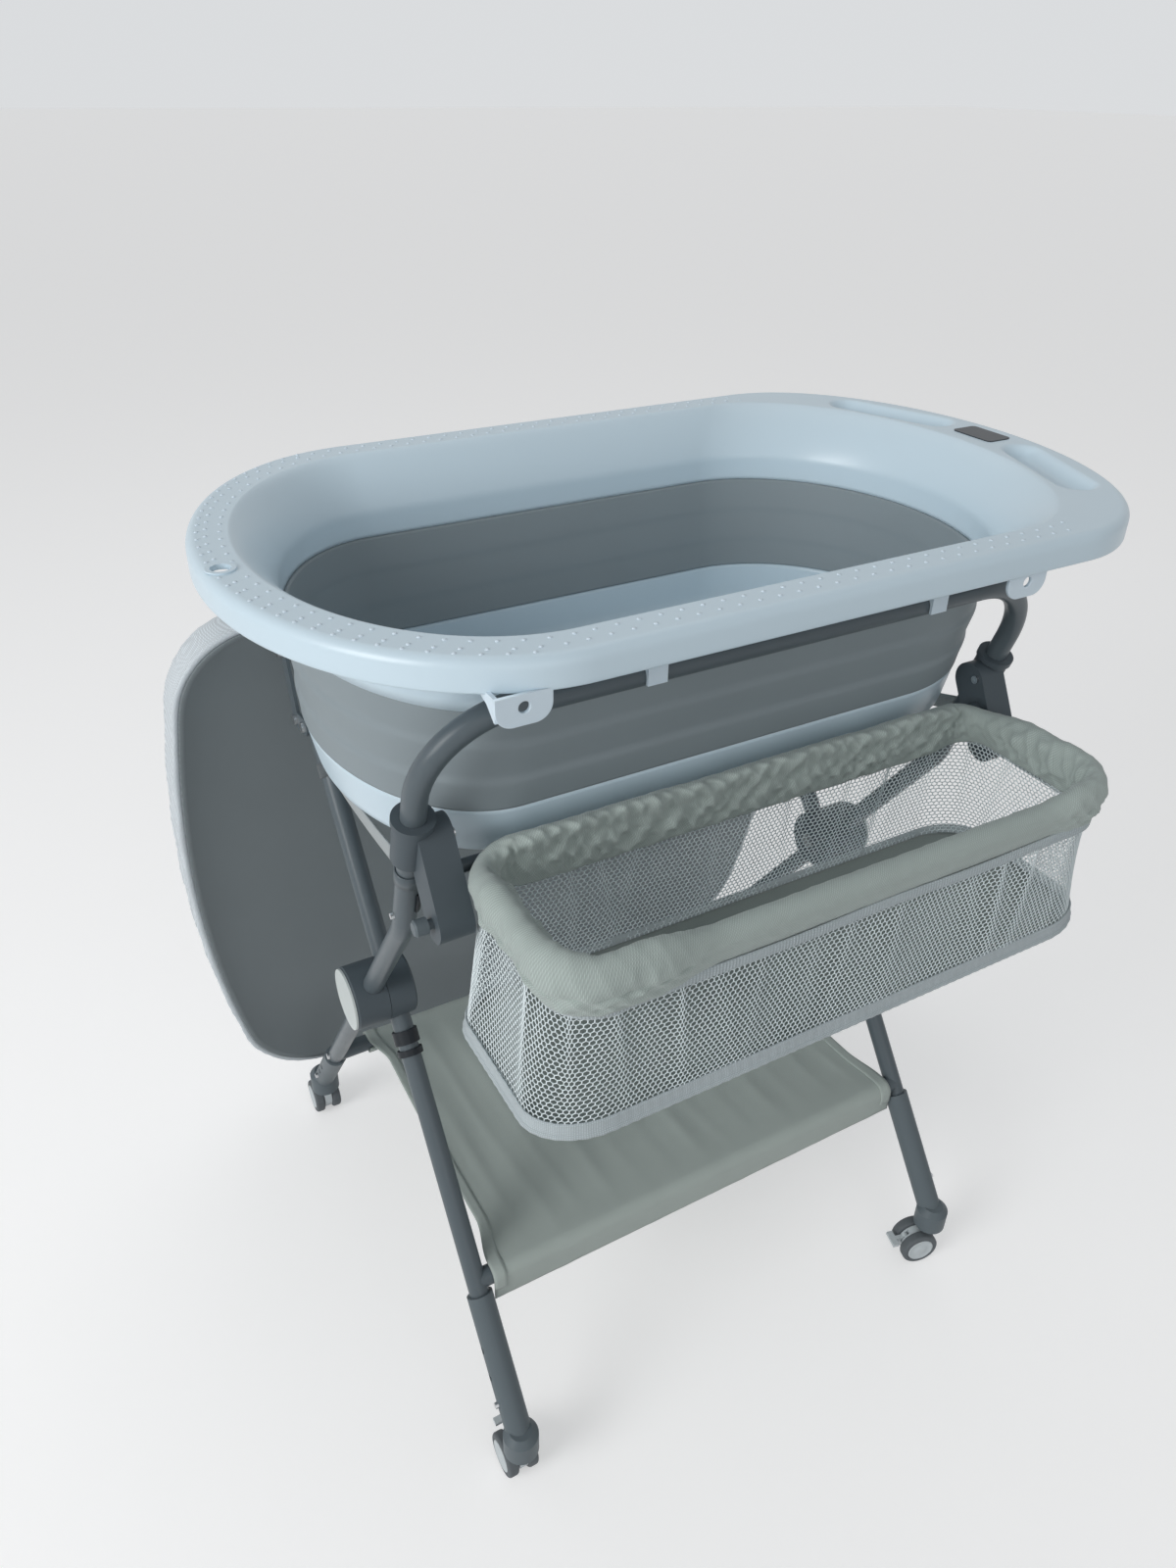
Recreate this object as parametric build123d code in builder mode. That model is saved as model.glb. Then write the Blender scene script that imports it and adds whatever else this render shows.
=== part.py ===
"""Baby bathtub with a folding stand on casters.

Frame of the part: +X along the tub to the end with the thermometer, +Y to the back, +Z up.
The origin is on the floor, under the middle of the whole object. Every size is in millimetres.
Widths and heights are measured from the middle of the stand, where the two leg frames cross.
"""

from build123d import *
import math
import os

os.makedirs("parts", exist_ok=True)

# Steel tube of both leg frames
tube_radius = 9.5
tube_wall = 1.2
seat_play = 0.15  # between pieces that sit fixed on or in each other
run_play = 0.06  # between a pin and the hole that it turns in
soft_gap = 0.3  # between cloth, or a moving skin, and its neighbour
overrun = 30.0  # how far a cut runs past what it cuts

# Outer leg frame, back feet and front rail
outer_half = 280.0  # middle of the stand to an outer leg
outer_angle = 54.0
bend_height = 587.4
bend_radius = 60.0
upper_angle = 71.3
joint_height = 598.0  # where the front tube plugs onto the legs
plug_length = 34.0
front_rail_height = 803.0
rail_bend_radius = 72.0

# Inner leg frame, front feet and back rail
inner_half = 258.3
inner_angle = 53.6
inner_top_rise = 8.0  # of the inner legs above the back rail's axis
low_rail_height = 185.5  # both rails that hold the shelf

# Hubs where the frames cross
hub_height = 419.0
hub_radius = 30.5
hub_outer_face = 301.0
hub_inner_face = 243.0
hub_seam_gap = 0.4
hub_edge = 2.0
pivot_radius = 5.0
pivot_head_radius = 8.0
pivot_head_height = 4.5
cap_radius = 29.5
cap_thickness = 2.0
cap_spigot = 1.0

# Telescopic feet
sleeve_radius = 12.5
sleeve_play = 0.25
sleeve_top_height = 175.5
tube_end_height = 76.0
sleeve_floor_height = 74.0
knuckle_height = 62.0
knuckle_radius = 17.0
knuckle_top = 76.0
knuckle_bottom = 44.0
knuckle_edge = 6.0
button_height = 93.0
button_pitch = 26.0
button_steps = 2  # further holes above the one in use
button_radius = 3.0
button_hole_radius = 3.3
button_reach = 15.2
leaf_width = 8.0
leaf_length = 36.0
leaf_thickness = 1.0
leaf_place = 5.5

# Twin-wheel casters
wheel_radius = 21.0
wheel_width = 11.0
wheel_edge = 2.5
wheel_disc_radius = 15.5
wheel_disc_height = 0.8
caster_trail = 14.0
web_thickness = 8.8
web_radius = 17.5
wheel_gap = 0.5
axle_radius = 3.0
stem_radius = 5.5
stem_top = 64.0
flange_radius = 12.0
flange_gap = 0.3
pedal_width = 4.0
pedal_slot = 4.6
pedal_pin_radius = 1.25
pedal_pin_out = 13.0
pedal_pin_up = 10.0
pedal_boss_radius = 3.0
pedal_drop = 4.0
pedal_arm_height = 4.0
pedal_tab_in = 24.5
pedal_tab_out = 31.5
pedal_tab_width = 18.0
slot_reach_in = 8.0
slot_reach_low = 2.0

# Tub
tub_left = 368.0
tub_right = 427.0
tub_half_width = 248.0
rim_left_round = 187.0
rim_right_round = 164.0
rim_rise = 55.0  # of the rim above the front tube's axis
skirt_height = 23.0
rim_wall = 3.0
rim_edge = 5.0
lip_left = 336.0
lip_right = 362.0
lip_half_width = 215.0
lip_left_round = 160.0
lip_right_round = 140.0
apron_top_drop = 42.0  # all these drops are below the rim's top
apron_bottom_drop = 70.0
apron_left = 304.0
apron_right = 330.0
apron_half_width = 182.0
apron_left_round = 125.0
apron_right_round = 150.0
wall_bottom_drop = 158.0
wall_bottom_half_width = 166.0
wall_thickness = 2.6
crease_depth = 4.5
base_bottom_drop = 208.0
base_left = 290.0
base_right = 322.0
base_half_width = 156.0
base_left_round = 105.0
base_right_round = 150.0
base_wall = 3.0
base_edge = 8.0
drain_place = 150.0  # from the middle toward the left end
drain_radius = 16.0
drain_play = 0.4
drain_flange = 5.0
drain_flange_height = 3.0
drain_knob_radius = 5.0
drain_knob_height = 10.0

# Things moulded in and set into the rim
tab_places = (-235.5, 197.5)
tab_half_width = 19.5
tab_drop = 22.0
tab_wall = 3.0
tab_corner = 12.0
tab_return = 28.0
tab_hole_radius = 4.5
tab_hole_drop = 9.5
tray_depth = 12.0
tray_wall = 2.5
tray_width = 24.0
tray_length = 124.0
tray_place_x = 373.0
tray_place_y = 106.0
tray_turn = 111.0
display_place = 393.0
display_length = 50.0
display_width = 30.0
display_corner = 5.0
display_depth = 8.0
display_rise = 0.8
grommet_place_x = 353.0
grommet_place_y = 13.0
grommet_radius = 9.0
grommet_hole_radius = 7.5
grommet_flange = 2.0
grommet_rise = 1.2
clip_places = (-110.0, 151.0)
clip_width = 16.0
clip_wall = 2.5
clip_drop = 5.0

# Saddles on the back rail, under the tub
saddle_height = 20.0  # of the tub's floor above the back rail's axis
saddle_place = 120.0
saddle_width = 30.0
saddle_wall = 3.0
saddle_reach = 27.0
saddle_plate = 6.5

# Brackets of the basket
bracket_inner_face = 254.5
bracket_outer_face = 281.5
bracket_radius = 16.0
bracket_top_reach = 4.6  # in front of the upper leg's axis, at that height
bracket_top_rise = 22.0  # above the basket's pivot
bracket_low_reach = 51.5
bracket_low_drop = 31.0
collar_radius = 14.5
collar_bottom_rise = 2.0
collar_top_rise = 44.0
collar_lip = 1.6
collar_lip_height = 5.0
bracket_slot = 5.0
bracket_slot_depth = 9.0
bracket_bore_end = 272.0
knob_radius = 6.5
knob_height = 10.5
knob_travel = 4.0
knob_stem_radius = 4.0
knob_stem_length = 16.0
knob_edge = 1.5
screw_radius = 1.8
screw_length = 9.0
screw_head_radius = 3.6
screw_head_height = 2.2

# Basket
basket_pivot_reach = 27.0  # in front of the upper leg's axis
basket_pivot_height = 672.0
basket_tube_radius = 6.0
basket_stub_radius = 5.4
basket_half_length = 244.5
basket_depth = 152.0
basket_corner = 32.0
cloth_thickness = 1.2
border_height = 30.0
border_rise = 7.5
mesh_drop = 131.0  # of the floor below the frame's tube
mesh_flare_drop = 58.0  # the walls stand upright down to here, beside the brackets
mesh_flare = 13.0  # at the two ends
mesh_tuck = 3.0  # in front and behind, where the floor is narrower than the border
mesh_thickness = 1.6
mesh_columns = 20
mesh_rows = 5
mesh_side_columns = 7
mesh_hole_share = 0.34
basket_floor_thickness = 3.0
hem_radius = 3.5
hem_drop = 4.0

# Shelf of cloth between the two low rails
shelf_half_length = 244.0
flap_drop = 24.0

# Webbing straps that limit the spread of the legs
strap_width = 14.0
strap_thickness = 1.6
strap_front_rise = 66.0  # above the bend of the outer legs
strap_back_drop = 40.0  # below the back rail's axis
strap_loop_gap = 0.3

# Snap pins and clips of the front tube, rings of the inner legs
snap_pin_rise = 8.0  # above the lower end of the front tube
snap_pin_radius = 2.5
snap_pin_reach = 12.0
joint_clip_rise = 15.0
joint_clip_length = 25.0
joint_clip_wall = 2.2
ring_drop = 53.0  # below the hub's axis
ring_length = 6.0
ring_wall = 2.4
c_clip_drop = 41.0
c_clip_length = 13.0

# Hanging panel behind the stand
panel_half_length = 392.0
panel_top_half = 362.0
panel_foot_half = 338.0
panel_top = 715.0
panel_foot = 60.0
panel_bow = 4.0
panel_top_corner = 95.0
panel_foot_corner = 115.0
panel_tilt = 6.67
panel_top_y = 213.0  # front face at its top edge
panel_board = 4.0
panel_strip = 6.0  # width of the pad's lip round the board
panel_thickness = 55.0
pad_edge = 18.0
pad_skin = 2.0
hinge_y = 201.0
hinge_height = 704.0
hanger_thickness = 3.0
hanger_gap = 0.3
hanger_radius = 9.0
hanger_foot_y = 152.0
hanger_foot_height = 626.0
hanger_bolt_y = 178.0
hanger_bolt_height = 622.0
hinge_pin_radius = 3.0
hinge_pin_head = 5.0
lug_thickness = 4.0
lug_gap = 0.5
bolt_head_radius = 5.0
bolt_head_height = 3.0

# Heights that follow from the ones above
rim_top = front_rail_height + rim_rise
apron_top = rim_top - apron_top_drop
apron_bottom = rim_top - apron_bottom_drop
wall_bottom = rim_top - wall_bottom_drop
base_bottom = rim_top - base_bottom_drop
back_rail_height = base_bottom - saddle_height
inner_top_height = back_rail_height + inner_top_rise
bracket_top_height = basket_pivot_height + bracket_top_rise
bracket_low_height = basket_pivot_height - bracket_low_drop
collar_bottom = basket_pivot_height + collar_bottom_rise
collar_top = basket_pivot_height + collar_top_rise
mesh_bottom = basket_pivot_height - mesh_drop
strap_front_height = bend_height + strap_front_rise
strap_back_height = back_rail_height - strap_back_drop
snap_pin_height = joint_height + snap_pin_rise
joint_clip_bottom = joint_height + joint_clip_rise
joint_clip_top = joint_clip_bottom + joint_clip_length


def leg_front(height):
    """Where the upper part of an outer leg stands at a height, from the middle to the front."""
    bend_y = (hub_height - bend_height) / math.tan(math.radians(outer_angle))
    return bend_y - (height - bend_height) / math.tan(math.radians(upper_angle))


basket_pivot_y = leg_front(basket_pivot_height) - basket_pivot_reach
bracket_top_y = leg_front(bracket_top_height) - bracket_top_reach
bracket_low_y = leg_front(bracket_low_height) - bracket_low_reach

# The middle of the stand, placed so that the origin is under the middle of the whole object
tilt_sin = math.sin(math.radians(panel_tilt))
tilt_cos = math.cos(math.radians(panel_tilt))
panel_foot_y = panel_top_y + (panel_top - panel_foot) * tilt_sin / tilt_cos
back_reach = panel_foot_y + panel_thickness * tilt_cos - pad_edge * tilt_sin
front_reach = (basket_depth - basket_pivot_y + basket_tube_radius
               + soft_gap + cloth_thickness)
stand_x = (panel_half_length - tub_right) / 2
stand_y = (front_reach - back_reach) / 2

SIDES = ((-1, "left"), (1, "right"))


def spot(x, y, z):
    """A point given from the middle of the stand."""
    return Vector(stand_x + x, stand_y + y, z)


def bar(start, end, radius, mode=Mode.ADD):
    """A round bar between two points."""
    with BuildSketch(Plane(origin=start, z_dir=end - start)) as section:
        Circle(radius)
    extrude(section.sketch, amount=(end - start).length, mode=mode)


def pipe(start, end, radius, bore):
    """A straight tube between two points."""
    with BuildSketch(Plane(origin=start, z_dir=end - start)) as section:
        Circle(radius)
        Circle(bore, mode=Mode.SUBTRACT)
    extrude(section.sketch, amount=(end - start).length)


def bent_pipe(points, bend, radius, bore):
    """A bent tube along straight runs with round corners."""
    with BuildLine() as route:
        FilletPolyline(*points, radius=bend)
    with BuildSketch(Plane(origin=points[0], z_dir=points[1] - points[0])) as section:
        Circle(radius)
        Circle(bore, mode=Mode.SUBTRACT)
    sweep(section.sketch, path=route.wire())


def side_plate(points, radius, x_from, x_to, mode=Mode.ADD):
    """A flat plate square to X, as wide as the radius on both sides of a line of points."""
    with BuildSketch(Plane(origin=(x_from, 0, 0), x_dir=(0, 1, 0), z_dir=(1, 0, 0))) as face:
        for first, last in zip(points, points[1:]):
            run = Vector(last[0] - first[0], last[1] - first[1])
            side = run.normalized() * radius
            with BuildLine():
                Polyline(
                    (first[0] - side.Y, first[1] + side.X),
                    (last[0] - side.Y, last[1] + side.X),
                    (last[0] + side.Y, last[1] - side.X),
                    (first[0] + side.Y, first[1] - side.X),
                    close=True,
                )
            make_face()
        with Locations(*points):
            Circle(radius)
    extrude(face.sketch, amount=x_to - x_from, mode=mode)


def leg_way(angle, toward):
    """The direction down a leg, toward the back (1) or the front (-1)."""
    turn = math.radians(angle)
    return Vector(0, toward * math.cos(turn), -math.sin(turn))


outer_way = leg_way(outer_angle, 1)
inner_way = leg_way(inner_angle, -1)
upper_way = leg_way(upper_angle, 1) * -1


def on_leg(x, way, height):
    """The point of a leg's axis at a height."""
    return spot(x, 0, hub_height) + way * ((height - hub_height) / way.Z)


def on_upper(x, height):
    """The point of an outer leg's axis above its bend."""
    return on_leg(x, outer_way, bend_height) + upper_way * ((height - bend_height) / upper_way.Z)


def finish(builder, name):
    """Label a finished piece and write its STEP file."""
    builder.part.label = name
    export_step(builder.part, "parts/" + name + ".step")


tube_bore = tube_radius - tube_wall
plug_radius = tube_bore - seat_play
plug_bore = plug_radius - tube_wall

# Outer legs: a bent tube from the back foot through the hub to the plug of the front tube
for side, hand in SIDES:
    leg_x = side * outer_half
    outward = Vector(side, 0, 0)
    foot_end = on_leg(leg_x, outer_way, tube_end_height)
    bend_point = on_leg(leg_x, outer_way, bend_height)
    joint = on_upper(leg_x, joint_height)
    with BuildPart() as outer_leg:
        bent_pipe([foot_end, bend_point, joint], bend_radius, tube_radius, tube_bore)
        pipe(joint - upper_way * tube_wall, joint, tube_radius, plug_bore)
        pipe(joint - upper_way * tube_wall, joint + upper_way * plug_length, plug_radius, plug_bore)
        hub_point = spot(leg_x, 0, hub_height)
        bar(hub_point - outward * overrun, hub_point + outward * overrun,
            pivot_radius + run_play, Mode.SUBTRACT)
        button_point = on_leg(leg_x, outer_way, button_height)
        bar(button_point, button_point + outward * overrun, button_hole_radius, Mode.SUBTRACT)
        pin_point = on_upper(leg_x, snap_pin_height)
        bar(pin_point, pin_point + outward * overrun, snap_pin_radius + seat_play, Mode.SUBTRACT)
    finish(outer_leg, "outer_leg_" + hand)

# Front tube: up from both plugs, round the corners and across under the front of the tub
rail_left = on_upper(-outer_half, front_rail_height)
rail_right = on_upper(outer_half, front_rail_height)
with BuildPart() as front_tube:
    bent_pipe(
        [on_upper(-outer_half, joint_height), rail_left, rail_right,
         on_upper(outer_half, joint_height)],
        rail_bend_radius, tube_radius, tube_bore,
    )
    for side, hand in SIDES:
        pin_point = on_upper(side * outer_half, snap_pin_height)
        bar(pin_point, pin_point + Vector(side * overrun, 0, 0),
            snap_pin_radius + seat_play, Mode.SUBTRACT)
finish(front_tube, "front_tube")

# Snap pins that lock the front tube onto the legs
with BuildPart() as snap_pins:
    for side, hand in SIDES:
        pin_point = on_upper(side * outer_half, snap_pin_height)
        outward = Vector(side, 0, 0)
        bar(pin_point + outward * (plug_bore - leaf_thickness), pin_point + outward * snap_pin_reach,
            snap_pin_radius)
finish(snap_pins, "snap_pins")

# Dark half-round clips beside the snap pins
with BuildPart() as joint_clips:
    for side, hand in SIDES:
        low = on_upper(side * outer_half, joint_clip_bottom)
        high = on_upper(side * outer_half, joint_clip_top)
        with BuildSketch(Plane(origin=low, x_dir=(side, 0, 0), z_dir=high - low)) as clip_ring:
            Circle(tube_radius + seat_play + joint_clip_wall)
            Circle(tube_radius + seat_play, mode=Mode.SUBTRACT)
            with Locations((-tube_radius, 0)):
                Rectangle(2 * tube_radius, 4 * tube_radius, mode=Mode.SUBTRACT)
        extrude(clip_ring.sketch, amount=(high - low).length)
finish(joint_clips, "joint_clips")


def low_rail(way, half):
    """A rail between the two legs of a frame, cut to the round of the legs."""
    axis_left = on_leg(-half, way, low_rail_height)
    axis_right = on_leg(half, way, low_rail_height)
    pipe(axis_left, axis_right, tube_radius, tube_bore)
    for middle in (axis_left, axis_right):
        bar(middle - way * overrun, middle + way * overrun, tube_radius + seat_play, Mode.SUBTRACT)


with BuildPart() as back_low_rail:
    low_rail(outer_way, outer_half)
finish(back_low_rail, "back_low_rail")

with BuildPart() as front_low_rail:
    low_rail(inner_way, inner_half)
finish(front_low_rail, "front_low_rail")

# Inner legs: straight tubes from the front foot through the hub to the back rail
for side, hand in SIDES:
    leg_x = side * inner_half
    outward = Vector(side, 0, 0)
    foot_end = on_leg(leg_x, inner_way, tube_end_height)
    top_end = on_leg(leg_x, inner_way, inner_top_height)
    with BuildPart() as inner_leg:
        pipe(foot_end, top_end, tube_radius, tube_bore)
        hub_point = spot(leg_x, 0, hub_height)
        bar(hub_point - outward * overrun, hub_point + outward * overrun,
            pivot_radius + seat_play, Mode.SUBTRACT)
        button_point = on_leg(leg_x, inner_way, button_height)
        bar(button_point, button_point + outward * overrun, button_hole_radius, Mode.SUBTRACT)
        foot_point = spot(leg_x, hanger_foot_y, hanger_foot_height)
        bar(foot_point - outward * overrun, foot_point + outward * overrun,
            hinge_pin_radius + seat_play, Mode.SUBTRACT)
    finish(inner_leg, "inner_leg_" + hand)

# Back rail across the tops of the inner legs
back_rail_left = on_leg(-inner_half, inner_way, back_rail_height)
back_rail_right = on_leg(inner_half, inner_way, back_rail_height)
with BuildPart() as back_rail:
    pipe(back_rail_left, back_rail_right, tube_radius, tube_bore)
    for middle in (back_rail_left, back_rail_right):
        bar(middle - inner_way * overrun, middle + inner_way * overrun,
            tube_radius + seat_play, Mode.SUBTRACT)
finish(back_rail, "back_rail")

# Saddles that the back of the tub stands on
saddle_top = base_bottom - soft_gap
rail_y = back_rail_left.Y
with BuildPart() as rail_saddles:
    for place in (-saddle_place, saddle_place):
        start_x = stand_x + place - saddle_width / 2
        with BuildSketch(Plane(origin=(start_x, 0, 0), x_dir=(0, 1, 0), z_dir=(1, 0, 0))) as seat:
            with Locations((rail_y, back_rail_height)):
                Circle(tube_radius + seat_play + saddle_wall)
            with Locations((rail_y, back_rail_height)):
                Rectangle(saddle_reach, saddle_top - back_rail_height,
                          align=(Align.MAX, Align.MIN))
            with Locations((rail_y - saddle_reach, saddle_top - saddle_plate)):
                Rectangle(saddle_reach - tube_radius - saddle_wall,
                          saddle_top - back_rail_height, align=(Align.MIN, Align.MAX),
                          mode=Mode.SUBTRACT)
            with Locations((rail_y, back_rail_height)):
                Circle(tube_radius + seat_play, mode=Mode.SUBTRACT)
            with Locations((rail_y, back_rail_height - tube_radius / 2)):
                Rectangle(4 * tube_radius, 2 * tube_radius, align=(Align.CENTER, Align.MAX),
                          mode=Mode.SUBTRACT)
        extrude(seat.sketch, amount=saddle_width)
finish(rail_saddles, "rail_saddles")

# Hubs: an outer half on each outer leg and an inner half on each inner leg
seam = (outer_half - tube_radius + inner_half + tube_radius) / 2
for side, hand in SIDES:
    outer_end = spot(side * hub_outer_face, 0, hub_height)
    outer_seam = spot(side * (seam + hub_seam_gap / 2), 0, hub_height)
    inner_seam = spot(side * (seam - hub_seam_gap / 2), 0, hub_height)
    inner_end = spot(side * hub_inner_face, 0, hub_height)
    inward = Vector(-side, 0, 0)
    with BuildPart() as hub_outer:
        bar(outer_end, outer_seam, hub_radius)
        rims = hub_outer.edges().filter_by(GeomType.CIRCLE).group_by(Axis.X)
        chamfer(rims[-1] if side > 0 else rims[0], length=hub_edge)
        leg_middle = spot(side * outer_half, 0, hub_height)
        bar(leg_middle - outer_way * 2 * hub_radius, leg_middle + outer_way * 2 * hub_radius,
            tube_radius + seat_play, Mode.SUBTRACT)
        bar(outer_end, outer_seam, pivot_radius + run_play, Mode.SUBTRACT)
        bar(outer_end, outer_end + inward * (pivot_head_height + soft_gap + cap_spigot),
            pivot_head_radius + cap_spigot, Mode.SUBTRACT)
    finish(hub_outer, "hub_outer_" + hand)
    with BuildPart() as hub_inner:
        bar(inner_seam, inner_end, hub_radius)
        rims = hub_inner.edges().filter_by(GeomType.CIRCLE).group_by(Axis.X)
        chamfer(rims[0] if side > 0 else rims[-1], length=hub_edge)
        leg_middle = spot(side * inner_half, 0, hub_height)
        bar(leg_middle - inner_way * 2 * hub_radius, leg_middle + inner_way * 2 * hub_radius,
            tube_radius + seat_play, Mode.SUBTRACT)
        bar(inner_seam, inner_end, pivot_radius + seat_play, Mode.SUBTRACT)
    finish(hub_inner, "hub_inner_" + hand)

# Light discs that close the hubs outside
with BuildPart() as hub_caps:
    for side, hand in SIDES:
        face = spot(side * hub_outer_face, 0, hub_height)
        bar(face, face + Vector(side * cap_thickness, 0, 0), cap_radius)
        bar(face, face - Vector(side * cap_spigot, 0, 0), pivot_head_radius + cap_spigot - seat_play)
finish(hub_caps, "hub_caps")

# Rings and open clips on the inner legs under the hubs
with BuildPart() as leg_rings:
    for side, hand in SIDES:
        leg_x = side * inner_half
        for drop, length in ((ring_drop, ring_length), (c_clip_drop, c_clip_length)):
            start = on_leg(leg_x, inner_way, hub_height - drop)
            pipe(start - inner_way * length / 2, start + inner_way * length / 2,
                 tube_radius + seat_play + ring_wall, tube_radius + seat_play)
finish(leg_rings, "leg_rings")

# Telescopic feet, their snap buttons and the casters
caster_turns = {"front_left": 90.0, "front_right": 165.0, "back_left": 90.0, "back_right": 120.0}
corners = (
    ("front_left", -1, inner_half, inner_way),
    ("front_right", 1, inner_half, inner_way),
    ("back_left", -1, outer_half, outer_way),
    ("back_right", 1, outer_half, outer_way),
)


def foot_sleeve_piece(leg_x, way, side):
    """A sleeve over the leg's end, joined to the upright socket of the caster."""
    top = on_leg(leg_x, way, sleeve_top_height)
    floor = on_leg(leg_x, way, sleeve_floor_height)
    knuckle = on_leg(leg_x, way, knuckle_height)
    bar(top, knuckle, sleeve_radius)
    with BuildPart(mode=Mode.PRIVATE) as block:
        with BuildSketch(Plane(origin=(knuckle.X, knuckle.Y, knuckle_bottom))) as block_face:
            Circle(knuckle_radius)
        extrude(block_face.sketch, amount=knuckle_top - knuckle_bottom)
        ends = block.edges().filter_by(GeomType.CIRCLE).group_by(Axis.Z)
        chamfer(ends[0], length=knuckle_edge / 2)
        chamfer(ends[-1], length=knuckle_edge)
    add(block.part)
    bar(top, floor, tube_radius + sleeve_play, Mode.SUBTRACT)
    socket = Vector(knuckle.X, knuckle.Y, knuckle_bottom)
    bar(socket, socket + Vector(0, 0, stem_top + soft_gap - knuckle_bottom),
        stem_radius + run_play, Mode.SUBTRACT)
    for step in range(button_steps + 1):
        hole = on_leg(leg_x, way, button_height) - way * step * button_pitch
        bar(hole, hole + Vector(side * overrun, 0, 0), button_hole_radius, Mode.SUBTRACT)


def snap_button_piece(leg_x, way, side):
    """A domed button on a flat leaf inside the leg, square to the leg and pointing outward."""
    middle = on_leg(leg_x, way, button_height)
    outward = Vector(side, 0, 0)
    bar(middle + outward * leaf_place, middle + outward * button_reach, button_radius)
    with BuildSketch(Plane(origin=middle + outward * leaf_place, x_dir=way, z_dir=outward)) as leaf:
        Rectangle(leaf_length, leaf_width)
    extrude(leaf.sketch, amount=leaf_thickness)


def caster_planes(leg_x, way, turn):
    """The caster's middle plane at the axle: x runs out along the trail, y up, z along the axle."""
    foot = on_leg(leg_x, way, knuckle_height)
    heading = Vector(math.cos(math.radians(turn)), math.sin(math.radians(turn)), 0)
    axle = Vector(foot.X, foot.Y, wheel_radius) + heading * caster_trail
    return Plane(origin=axle, x_dir=heading, z_dir=heading.cross(Vector(0, 0, 1)))


def from_middle(plane, thickness):
    """The same plane moved back by half of a thickness that is centred on it."""
    return plane.offset(-thickness / 2)


def caster_body_piece(plane):
    """The web between the wheels, the flange under the foot and the upright stem."""
    with BuildSketch(from_middle(plane, web_thickness)) as web:
        Circle(web_radius)
        with Locations((-caster_trail, 0)):
            Rectangle(2 * stem_radius, wheel_radius + flange_gap,
                      align=(Align.CENTER, Align.MIN))
    extrude(web.sketch, amount=web_thickness)
    flange_low = 2 * wheel_radius + flange_gap
    swivel = plane.from_local_coords(Vector(-caster_trail, 0, 0))
    low = Vector(swivel.X, swivel.Y, flange_low)
    bar(low, Vector(low.X, low.Y, knuckle_bottom - flange_gap), flange_radius)
    bar(low, Vector(low.X, low.Y, stem_top), stem_radius)
    with BuildSketch(from_middle(plane, pedal_slot)) as slot:
        with Locations((slot_reach_in, slot_reach_low)):
            Rectangle(web_radius, web_radius, align=(Align.MIN, Align.MIN))
    extrude(slot.sketch, amount=pedal_slot, mode=Mode.SUBTRACT)
    with BuildSketch(from_middle(plane, 2 * web_thickness)) as holes:
        Circle(axle_radius + run_play)
        with Locations((pedal_pin_out, pedal_pin_up)):
            Circle(pedal_pin_radius + run_play)
    extrude(holes.sketch, amount=2 * web_thickness, mode=Mode.SUBTRACT)


def wheel_pair_piece(plane):
    """Two wheels with raised outer discs on one axle."""
    span = web_thickness + 2 * wheel_gap + 2 * wheel_width
    for way in (1, -1):
        inner = plane.offset(way * (web_thickness / 2 + wheel_gap))
        with BuildPart(mode=Mode.PRIVATE) as wheel:
            with BuildSketch(inner) as tread:
                Circle(wheel_radius)
            extrude(tread.sketch, amount=way * wheel_width)
            chamfer(wheel.edges().filter_by(GeomType.CIRCLE), length=wheel_edge / 2)
            with BuildSketch(inner.offset(way * wheel_width)) as disc:
                Circle(wheel_disc_radius)
            extrude(disc.sketch, amount=way * wheel_disc_height)
            with BuildSketch(from_middle(plane, span)) as bore:
                Circle(axle_radius + run_play)
            extrude(bore.sketch, amount=span, mode=Mode.SUBTRACT)
        add(wheel.part)
    with BuildSketch(from_middle(plane, span)) as axle:
        Circle(axle_radius)
    extrude(axle.sketch, amount=span)


def brake_pedal_piece(plane):
    """A lever between the wheels with a wide tab behind them."""
    with BuildSketch(from_middle(plane, pedal_width)) as arm:
        with Locations((pedal_pin_out, pedal_pin_up)):
            Circle(pedal_boss_radius)
        with Locations((pedal_pin_out, pedal_pin_up - pedal_drop)):
            Rectangle(pedal_tab_in - pedal_pin_out, pedal_arm_height, align=(Align.MIN, Align.MIN))
    extrude(arm.sketch, amount=pedal_width)
    with BuildSketch(from_middle(plane, pedal_tab_width)) as tab:
        with Locations((pedal_tab_in, pedal_pin_up - pedal_drop)):
            Rectangle(pedal_tab_out - pedal_tab_in, pedal_arm_height,
                      align=(Align.MIN, Align.MIN))
    extrude(tab.sketch, amount=pedal_tab_width)
    with BuildSketch(from_middle(plane, web_thickness)) as pin:
        with Locations((pedal_pin_out, pedal_pin_up)):
            Circle(pedal_pin_radius)
    extrude(pin.sketch, amount=web_thickness)


for corner, side, half, way in corners:
    leg_x = side * half
    plane = caster_planes(leg_x, way, caster_turns[corner])
    with BuildPart() as foot_sleeve:
        foot_sleeve_piece(leg_x, way, side)
    finish(foot_sleeve, "foot_sleeve_" + corner)
    with BuildPart() as snap_button:
        snap_button_piece(leg_x, way, side)
    finish(snap_button, "snap_button_" + corner)
    with BuildPart() as caster_body:
        caster_body_piece(plane)
    finish(caster_body, "caster_body_" + corner)
    with BuildPart() as wheel_pair:
        wheel_pair_piece(plane)
    finish(wheel_pair, "wheel_pair_" + corner)
    with BuildPart() as brake_pedal:
        brake_pedal_piece(plane)
    finish(brake_pedal, "brake_pedal_" + corner)


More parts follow.
